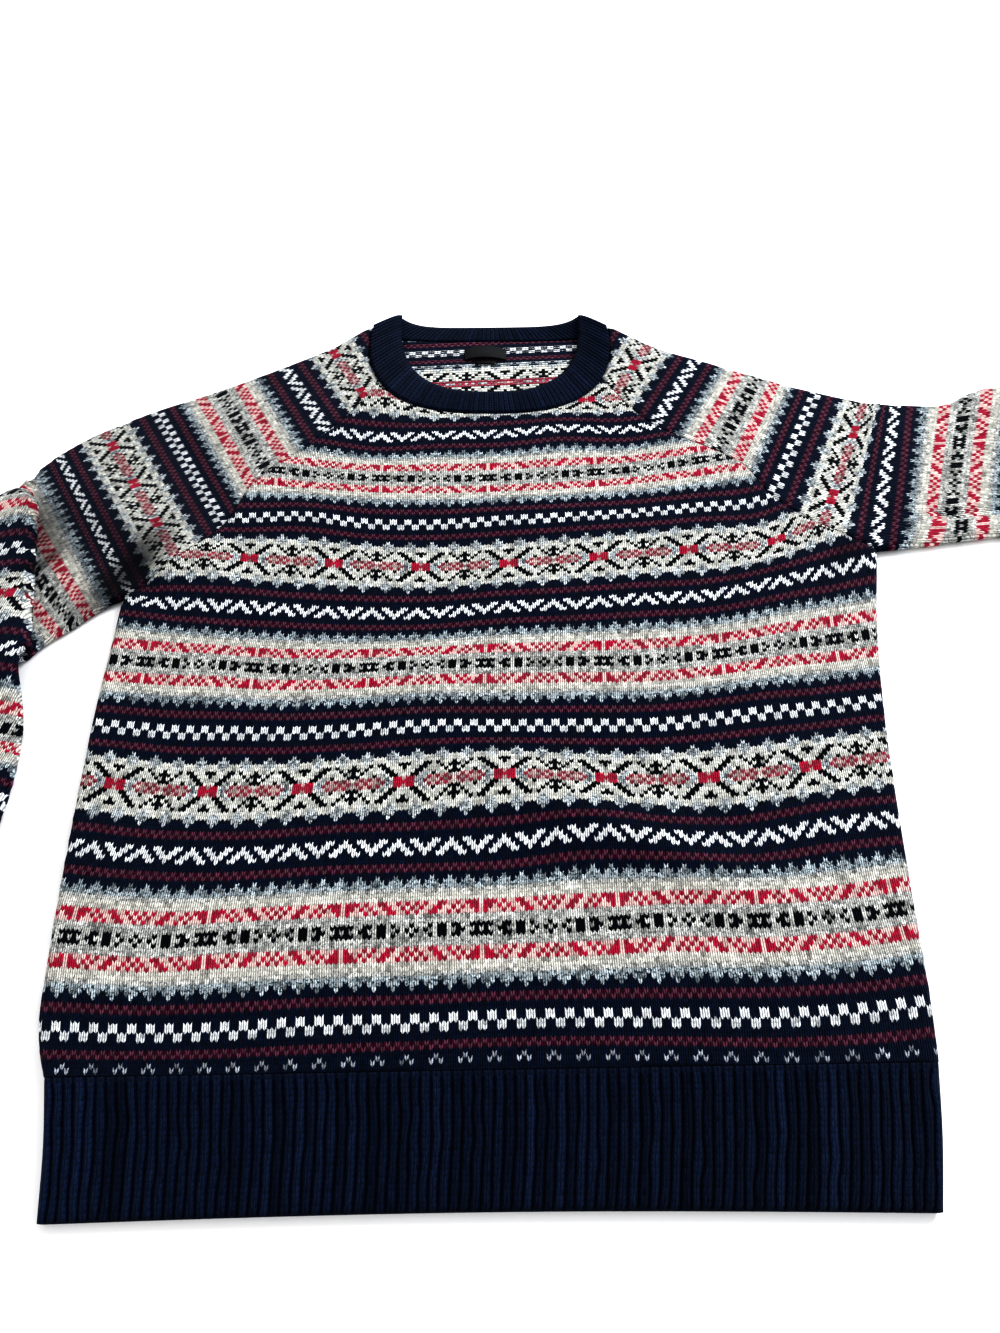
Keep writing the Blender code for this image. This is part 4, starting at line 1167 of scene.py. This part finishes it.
arm_share, arm_run = elbow_place(*arm)
forearm_share, forearm_run = elbow_place(*forearm)
goes_in = last_past(arm_run - pleat_path(arm_share, 0.0)[0])
still_out = np.where(forearm_share > 1, FAR, forearm_run - pleat_path(forearm_share, 1.0)[0])
comes_out = last_past(still_out)
comes_out = np.minimum(np.round(comes_out), goes_in - 1)
tall = RIGHT_ROWS[:, None]
progress = np.clip((goes_in - tall) / (goes_in - comes_out), 0, 1)
share_in = at_row(arm_share, goes_in)
share_out = at_row(forearm_share, comes_out)
share = share_in + (share_out - share_in) * progress
run, rise, turn = pleat_path(share, progress)
pleat_x = elbow_outer[0] + elbow[0] * share + across_elbow[0] * run
pleat_y = elbow_outer[1] + elbow[1] * share + across_elbow[1] * run
is_arm, is_forearm = tall >= goes_in, tall <= comes_out
print(f"rows inside the pleat: up to {(goes_in - comes_out).max():.0f}")


# %% Right sleeve
def by_stretch(for_arm, for_pleat, for_forearm):
    """Each stitch's value, from the stretch of the sleeve that it is in."""
    return np.where(is_arm, for_arm, np.where(is_forearm, for_forearm, for_pleat))


x = by_stretch(arm[0], pleat_x, forearm[0])
y = by_stretch(arm[1], pleat_y, forearm[1])
folds_in = at_row(arm_folds, goes_in)
folds_out = at_row(forearm_folds, comes_out)
past_ends = np.minimum(share, 1 - share) * np.linalg.norm(elbow)
pleat_folds = np.minimum(folds_in + (folds_out - folds_in) * progress, past_ends)
past_crease = forearm_run - pleat_path(forearm_share, 1.0)[0] + PLEAT_SLACK
folds = by_stretch(arm_folds, pleat_folds, np.minimum(forearm_folds, past_crease))
lift = by_stretch(0.0, rise, forearm_lift(*forearm))
tilt = by_stretch(0.0, turn, 0.0)
beside = np.maximum(np.maximum(tall - goes_in, comes_out - tall), 0) * ROW_HEIGHT
pressed = np.exp(-((beside / PRESSED_LENGTH) ** 2))
height = laid_height(x, y) * (1 - pressed) + PLEAT_HEIGHT * pressed
ends = edge_depth(FOREARM_FOLDS[0][-1], FOREARM_FOLDS[1][-1], x, y)
depths = sleeve_seam_depths(-1, seams, x, y)
place = RIGHT_ROWS, RIGHT_COLUMNS, (x, y)
right_sleeve = tube("right_sleeve_knit", *place, folds, ends, depths, lift, tilt, across_elbow, height)

# %% [markdown]
# ## Ribs: hem and cuffs
#
# One by one rib alternates a column of plain stitches, which stands up, with one that sinks back. A bump
# could draw it, but the ribs are deep enough to shade each other and to show along an edge. So each plain
# column is a rounded ridge with six faces across it, and its faces match the rows, so that the same knit
# material draws a V in each. Welts and cuffs are strips between two side lines.

# %% Ribs and their yarn
RIB_FACES = 6
RIB_RISE = 1.6
RIB_PITCH = 5.1
RIB_ROW = 3.0  # height of a row in the rib
# Painted shade in a groove and painted light on a ridge, as factors on the navy's colour
GROOVE_PAINTED_SHADE = np.array((0.12, 0.30, 0.55))  # of the navy, deep in a groove
RIDGE_PAINTED_LIGHT = np.array((2.2, 1.95, 1.75))
RIB_UNEVENNESS = 0.16  # from rib to rib
RIB_WANDER = 0.38
RIB_WANDER_LENGTH = 12.0
RIB_FADE = 7.0  # distance from the seam in which the ribs rise
SEAM_SINK = 0.15  # at the top of a strip
WELT_HEIGHT = 6.4
WELT_SAG = 3.0
CUFF_HEIGHT = 6.6
CUFF_WAIST = 1.5
EDGE_SOFTNESS, SINK_SOFTNESS = 1.6, 2.0  # distances in which an edge and a seam bend down
WELT_SIDES = (((-226, -359), (-232, -325), (-240, -292)), ((217.5, -354), (226, -320), (233, -284)))
RIGHT_CUFF_SIDES = (((-441, -312), (-440, -244)), ((-350, -313), (-344, -246)))
LEFT_CUFF_SIDES = (((860, 198), (793, 188)), ((861, 288), (794, 281)))


def rib_relief(place):
    """A rounded ridge for each whole number passed, and a groove as wide: the square of a sine."""
    return np.sin(np.pi * place) ** 2


def rib_yarn(faces, groove=GROOVE_PAINTED_SHADE, ridge=RIDGE_PAINTED_LIGHT, fade=1.0):
    """The three colour tables of a navy rib, from each face's number along the ribs. Painted shade keeps the
    fibres down in a groove dark, since little light reaches them, and painted light brightens the ridges.
    Where the ribs fade, so do the painted shade and light."""
    colours = yarn_colours(np.full(len(faces), "N"))
    relief = rib_relief((faces + 0.5) / RIB_FACES)[:, None]
    ribs = faces // RIB_FACES
    tone = 1 + RIB_UNEVENNESS * chance.standard_normal(ribs.max() + 1)[ribs][:, None]
    painted_rib_shade = (groove + (ridge - groove) * relief) * tone
    colours[:, :3] *= 1 + (painted_rib_shade - 1) * np.reshape(fade, (-1, 1))
    return {key: colours for key in ("own", "below", "reverse")}


def grid_loops(number):
    """Corner numbers of the faces between a grid's numbered points, and each face's row and column."""
    ring = np.stack((number[:-1, :-1], number[:-1, 1:], number[1:, 1:], number[1:, :-1]), axis=-1)
    return ring.reshape(-1), *np.indices(ring.shape[:2]).reshape(2, -1)


def rib_stitch(faces, across, up):
    """The map of a rib's faces: across goes from 0 to 1 over each rib, and up from 0 to 1 in each face."""
    u = ((faces % RIB_FACES)[:, None] + np.array(across)) / RIB_FACES
    return np.stack((u, np.tile(np.array(up, float), (len(faces), 1))), axis=-1).reshape(-1, 2)


print("rib pitch:", RIB_PITCH, "mm, rise:", RIB_RISE, "mm")


# %% Hem and cuffs
def ribbed_strip(name, first_side, last_side, layers, edge_height, sag=0.0, waist=0.0):
    """A strip between two side lines, from its free edge, where it is edge_height high, up to the laid
    cloth. sag bows the free edge, and waist draws the sides in halfway up. The ribs wander a little to
    either side, and they rise gently out of the seam."""
    length = np.linalg.norm(np.diff(np.array(first_side, float), axis=0), axis=1).sum()
    rows = int(length / RIB_ROW) + 1
    sides = [smooth_line(side, rows) for side in (first_side, last_side)]
    width = np.linalg.norm(sides[1][0] - sides[0][0])
    ribs = int(width / RIB_PITCH)
    across = np.linspace(0, 1, ribs * RIB_FACES + 1)
    up = np.linspace(0, 1, rows)[:, None]
    inwards = (sides[1] - sides[0]) / np.linalg.norm(sides[1] - sides[0], axis=1)[:, None]
    pinch = waist * np.sin(np.pi * up)
    starts, finishes = sides[0] + inwards * pinch, sides[1] - inwards * pinch
    knots = np.linspace(0, 1, int(length / RIB_WANDER_LENGTH) + 2)
    wander = RIB_WANDER / width * chance.standard_normal((len(knots), ribs + 1))
    wander[:, (0, -1)] = 0
    wander = smooth_at(knots, wander, up[:, 0])
    places = across + np.array([np.interp(across * ribs, np.arange(ribs + 1), line) for line in wander])
    plan = starts[:, None] + (finishes - starts)[:, None] * places[..., None]
    rise_way = (sides[0][-1] - sides[0][0]) / np.linalg.norm(sides[0][-1] - sides[0][0])
    plan = plan + rise_way * (sag * (1 - up) * np.sin(np.pi * across))[..., None]
    x, y = plan[..., 0], plan[..., 1]
    height = edge_height + (laid_height(x, y) - edge_height) * up
    half = rolled(width * np.minimum(across, 1 - across) + 0 * up, height)
    fade = smooth_step((1 - up) * length / RIB_FADE)
    relief = RIB_RISE * (rib_relief(across * ribs) - 0.5) * half / height * 2 * fade
    edge = SEAM_DIP * np.exp(-((up * length / EDGE_SOFTNESS) ** 2))
    edge = edge + SEAM_SINK * np.exp(-(((1 - up) * length / SINK_SOFTNESS) ** 2))
    loops, face_rows, face_columns = grid_loops(np.arange(x.size).reshape(x.shape))
    stitch = rib_stitch(face_columns, (0, 1, 1, 0), (0, 0, 1, 1))
    points, all_loops, all_stitch = [], [], []
    for layer in layers:
        way = 1 if layer == "top" else -1
        z = height / 2 + way * half + (relief - edge if way > 0 else 0.0)
        all_loops.append(loops[::way] + len(points) * x.size)
        all_stitch.append(stitch[::way])
        points.append(np.stack((x, y, z), axis=-1).reshape(-1, 3))
    yarns = rib_yarn(np.tile(face_columns, len(layers)), fade=np.tile(fade[face_rows, 0], len(layers)))
    totals = np.full(len(layers) * len(face_rows), 4)
    all_loops, all_stitch = np.concatenate(all_loops), np.vstack(all_stitch)
    piece = make_mesh(name, np.vstack(points), all_loops, totals, all_stitch, yarns)
    mend(piece)
    give_wall(piece)
    print(name, "ribs:", ribs, "faces:", len(piece.data.polygons))
    return piece


BOTH = ("top", "under")
hem_front = ribbed_strip("hem_front_rib", *WELT_SIDES, BOTH[:1], WELT_HEIGHT, sag=WELT_SAG)
hem_back = ribbed_strip("hem_back_rib", *WELT_SIDES, BOTH[1:], WELT_HEIGHT, sag=WELT_SAG)
right_cuff = ribbed_strip("right_cuff_rib", *RIGHT_CUFF_SIDES, BOTH, CUFF_HEIGHT, waist=CUFF_WAIST)
left_cuff = ribbed_strip("left_cuff_rib", *LEFT_CUFF_SIDES, BOTH, CUFF_HEIGHT, waist=CUFF_WAIST)

# %% [markdown]
# ## Neckband
#
# The band is a ribbed strip, folded double and sewn round the neck. It lies face up along the front, turns
# over at each shoulder, and its inside shows across the back. A strip bent by a curve modifier would twist
# at the shoulders, so the ring is worked out section by section, each from its own place on the seam.

# %% The band's path
OPENING_HALF_WIDTH = 79.5
OPENING_TOP_Y = 365.0
OPENING_DEPTH = 102.0
BACK_EDGE_DROP = 7.0
BAND_THICKNESS = 3.5
BAND_RIBS = 134
BAND_RIB_RISE = 0.8
# Painted shade in the band's grooves and painted light on its ridges, as factors on the navy's colour
BAND_GROOVE_PAINTED_SHADE = 0.75
BAND_RIDGE_PAINTED_LIGHT = 1.45
BAND_FRONT_SHARE = 0.6
BAND_TURN_SHARE = 0.018
BAND_FRONT_Z = 6.2
BAND_SHOULDER_Z = 9.5
BAND_BACK_LIFT = 3.4  # of the back's ends, where they rise into the folds at the shoulders
BAND_BACK_REACH = 3.0  # of its free edge there, upwards
BAND_BACK_TILT = 1.4  # it rises towards the wearer's left
BAND_CORNER = 4.5  # rounding of the seam's end at the shoulder
BAND_ROWS = 9  # of stitches across the band
PROFILE_POWER = 5.0  # how square the section's ends are
PROFILE_SWELL = 0.1
CORNER_SHARPNESS = 40
END_SHARPNESS = 8
SHOULDER_SHARPNESS = 5
FACES_UP_UNTIL = 0.75  # share of the turn
NECK_POINTS = 4000  # along a curve, before it is divided evenly


def band_path():
    """For each section of the ring, its place on the seam and on the free edge, its height and its turn.
    The front's sections lie face up, each shoulder's turn over, and the back's face down."""
    stations = BAND_RIBS * RIB_FACES
    front_count = int(stations * BAND_FRONT_SHARE)
    turn_count = int(stations * BAND_TURN_SHARE)
    back_count = stations - front_count - 2 * turn_count
    at_seam, at_edge = (NECK_HALF_WIDTH, SHOULDER_Y), (OPENING_HALF_WIDTH, OPENING_TOP_Y)
    seam = evenly(superellipse(*at_seam, NECK_DEPTH, NECK_POINTS), front_count)
    edge = evenly(superellipse(*at_edge, OPENING_DEPTH, NECK_POINTS), front_count)
    back_seam = evenly(back_neck_line(*at_seam, BACK_SEAM_DROP), back_count)[::-1]
    back_edge = evenly(back_neck_line(*at_edge, BACK_EDGE_DROP), back_count)[::-1]
    place = np.linspace(-1, 1, front_count)
    corner = BAND_CORNER * np.abs(place[:, None]) ** CORNER_SHARPNESS
    seam = seam + corner * (edge - seam) / np.linalg.norm(edge - seam, axis=1)[:, None]
    end = np.abs(np.linspace(-1, 1, back_count)) ** END_SHARPNESS
    tilt = BAND_BACK_TILT * np.linspace(1, -1, back_count)
    back_seam[:, 1] += tilt
    back_edge[:, 1] += BAND_BACK_REACH * end + tilt
    front_z = BAND_FRONT_Z + (BAND_SHOULDER_Z - BAND_FRONT_Z) * np.abs(place) ** SHOULDER_SHARPNESS
    back_z = BAND_THICKNESS / 2 + BAND_BACK_LIFT * end
    radius = (BAND_SHOULDER_Z - back_z[0]) / 2
    turns = np.pi * np.arange(1, turn_count + 1) / (turn_count + 1)
    seams, edges, heights, angles = [seam], [edge], [front_z], [np.zeros(front_count)]
    for side, last in ((1, -1), (-1, 0)):
        angle = turns if side > 0 else np.pi - turns
        outwards = np.array((edge[last, 1] - seam[last, 1], seam[last, 0] - edge[last, 0])) * side
        outwards = outwards / np.linalg.norm(outwards)
        slide = outwards * radius * np.sin(angle)[:, None]
        seams.append(seam[last] + slide)
        edges.append(edge[last] + slide)
        heights.append(back_z[0] + radius * (1 + np.cos(angle)))
        angles.append(angle)
        if side > 0:
            seams.append(back_seam)
            edges.append(back_edge)
            heights.append(back_z)
            angles.append(np.full(back_count, np.pi))
    return [np.concatenate(part) for part in (seams, edges, heights, angles)]


print("sections of the band:", len(band_path()[0]))


# %% The band itself
def neckband():
    """The band as a ring of sections. Each is a flat superellipse, from the seam round the free edge and
    back, with ribs on its face."""
    seams, edges, heights, angles = band_path()
    width = np.linalg.norm(edges - seams, axis=1)[:, None]
    inwards = (edges - seams) / width
    side = np.where(seams[:, :1] < NECK_X, 1, -1)
    outwards = np.column_stack((-inwards[:, 1], inwards[:, 0])) * side
    reach = np.linspace(0, 1, BAND_ROWS + 1)
    bulge = (1 - reach**PROFILE_POWER) ** 0.5 * (1 - PROFILE_SWELL + PROFILE_SWELL * np.sin(np.pi * reach))
    across = np.r_[reach, reach[-2::-1]]
    relief = BAND_RIB_RISE * (rib_relief(np.arange(len(seams)) / RIB_FACES) - 0.5)[:, None]
    faces_up = (angles < np.pi * FACES_UP_UNTIL)[:, None]
    above = (BAND_THICKNESS / 2 + relief * faces_up) * bulge
    below = -(BAND_THICKNESS / 2 + relief * ~faces_up) * bulge
    off = np.hstack((above, below[:, -2::-1]))
    sine, cosine = np.sin(angles)[:, None], np.cos(angles)[:, None]
    aside = off * sine
    x = seams[:, :1] + inwards[:, :1] * width * across + outwards[:, :1] * aside
    y = seams[:, 1:] + inwards[:, 1:] * width * across + outwards[:, 1:] * aside
    points = np.stack((x, y, heights[:, None] + off * cosine), axis=-1)
    number = np.arange(x.size).reshape(x.shape)  # the last section meets the first, and so do its ends
    loops, face_rows, _ = grid_loops(np.pad(number, ((0, 1), (0, 1)), mode="wrap"))
    stitch = rib_stitch(face_rows, (0, 0, 1, 1), (0, 1, 1, 0))
    yarns = rib_yarn(face_rows, BAND_GROOVE_PAINTED_SHADE, BAND_RIDGE_PAINTED_LIGHT)
    totals = np.full(len(face_rows), 4)
    piece = make_mesh("neckband_rib", points.reshape(-1, 3), loops, totals, stitch, yarns)
    mend(piece, turn_out=True)
    piece.data.materials.append(KNIT)
    print("neckband faces:", len(piece.data.polygons))
    return piece


neck = neckband()

# %% [markdown]
# ## Label and tab
#
# A bare black label is sewn into the back neck, with a small tab under it. Both are woven satin ribbon:
# fine weft lines and a low gloss. A flat box would look stuck on, so each is a sheet that bulges a little
# between its stitches.

# %% Woven tags
LABEL_SIZE = (37.0, 19.0)
LABEL_CENTRE = (-13.0, 318.8)
LABEL_THICKNESS = 0.9
LABEL_BULGE = 3.0
LABEL_BOW = 5.0  # of its upper edge: the ends lie lower than the middle
TAB_SIZE = (17.0, 5.0)
TAB_CENTRE = (-13.0, 305.8)
TAB_BULGE = 1.2
WEFT_WAVE, WARP_WAVE = 15000.0, 21000.0  # radians to a metre
WEAVE_DEPTH = 0.0002
DUST_SCALE = 700.0
SATIN_BLACK, SATIN_GREY = (0.003, 0.003, 0.004, 1.0), (0.010, 0.011, 0.012, 1.0)
TAG_TOP = 0.8  # height above its middle, as a share, where a tag would lie flat
TAG_END_DIP = 0.25
TAG_END_SHARPNESS = 12


def satin_material():
    """Weft ridges from a sine of y, crossed by finer warp from a sine of x, and a soft gloss."""
    graph = Graph("black satin ribbon")
    x, y = graph.axes(graph.place)
    weave = 0.6 * (y * WEFT_WAVE).math("SINE") + 0.4 * (x * WARP_WAVE).math("SINE")
    dust = graph.noise(DUST_SCALE, 3.0)
    return graph.finish(
        Base_Color=graph.mix(dust, SATIN_BLACK, SATIN_GREY),
        Roughness=0.5 + 0.12 * dust,
        Normal=graph.bump(weave, 0.4, WEAVE_DEPTH),
        Specular_IOR_Level=0.2,
    )


def bowed_tag(name, size, centre, bulge, bow=0.0, columns=37, rows=17):
    """A sheet that bulges most in the middle of its lower part, with ends that dip to their stitches and,
    with a bow, an upper edge like a low arch."""
    across, up = np.meshgrid(np.linspace(-0.5, 0.5, columns), np.linspace(-0.5, 0.5, rows))
    lift = bulge * (1 - (2 * across) ** 2) * np.clip(TAG_TOP - up, 0, 1)
    z = WALL + SEAM_GAP + LABEL_THICKNESS + lift - TAG_END_DIP * np.abs(2 * across) ** TAG_END_SHARPNESS
    y = centre[1] + size[1] * up - bow * (2 * across) ** 2 * (up + 0.5)
    points = np.stack((centre[0] + size[0] * across, y, z), axis=-1).reshape(-1, 3)
    loops, face_rows, _ = grid_loops(np.arange(rows * columns).reshape(rows, columns))
    piece = make_mesh(name, points, loops, np.full(len(face_rows), 4))
    give_wall(piece, LABEL_THICKNESS, (SATIN,))
    return piece


SATIN = satin_material()
label = bowed_tag("label_ribbon", LABEL_SIZE, LABEL_CENTRE, LABEL_BULGE, LABEL_BOW)
tab = bowed_tag("tab_ribbon", TAB_SIZE, TAB_CENTRE, TAB_BULGE)

# %% [markdown]
# ## What each piece stands for
#
# Every sheet takes the place of one node of the frame, which is hidden. Its flat size is the box that the
# knitted piece fills when it is flat, and its area is the part of that box which is cloth.

# %% Hide each node, attach its sheet, and count triangles
PIECES = (
    (front, "front", "fair_isle", (0.55, 0.64), 0.29),
    (back, "back", "fair_isle", (0.55, 0.65), 0.31),
    (right_sleeve, "right_sleeve", "fair_isle", (0.36, 0.62), 0.20),
    (left_sleeve, "left_sleeve", "fair_isle", (0.36, 0.70), 0.205),
    (hem_front, "hem_front", "navy_rib", (0.455, 0.069), None),
    (hem_back, "hem_back", "navy_rib", (0.455, 0.069), None),
    (right_cuff, "right_cuff", "navy_rib", (0.184, 0.068), None),
    (left_cuff, "left_cuff", "navy_rib", (0.184, 0.068), None),
    (neck, "neck_rib", "navy_rib", (0.53, 0.028), None),
    (label, "neck_label", "black_tag", (0.037, 0.019), None),
    (tab, "size_tab", "black_tag", (0.017, 0.005), None),
)
for piece, node, slot, flat, area in PIECES:
    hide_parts(node)
    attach(piece, BODY)
    print(piece.name, "triangles:", triangles(piece))
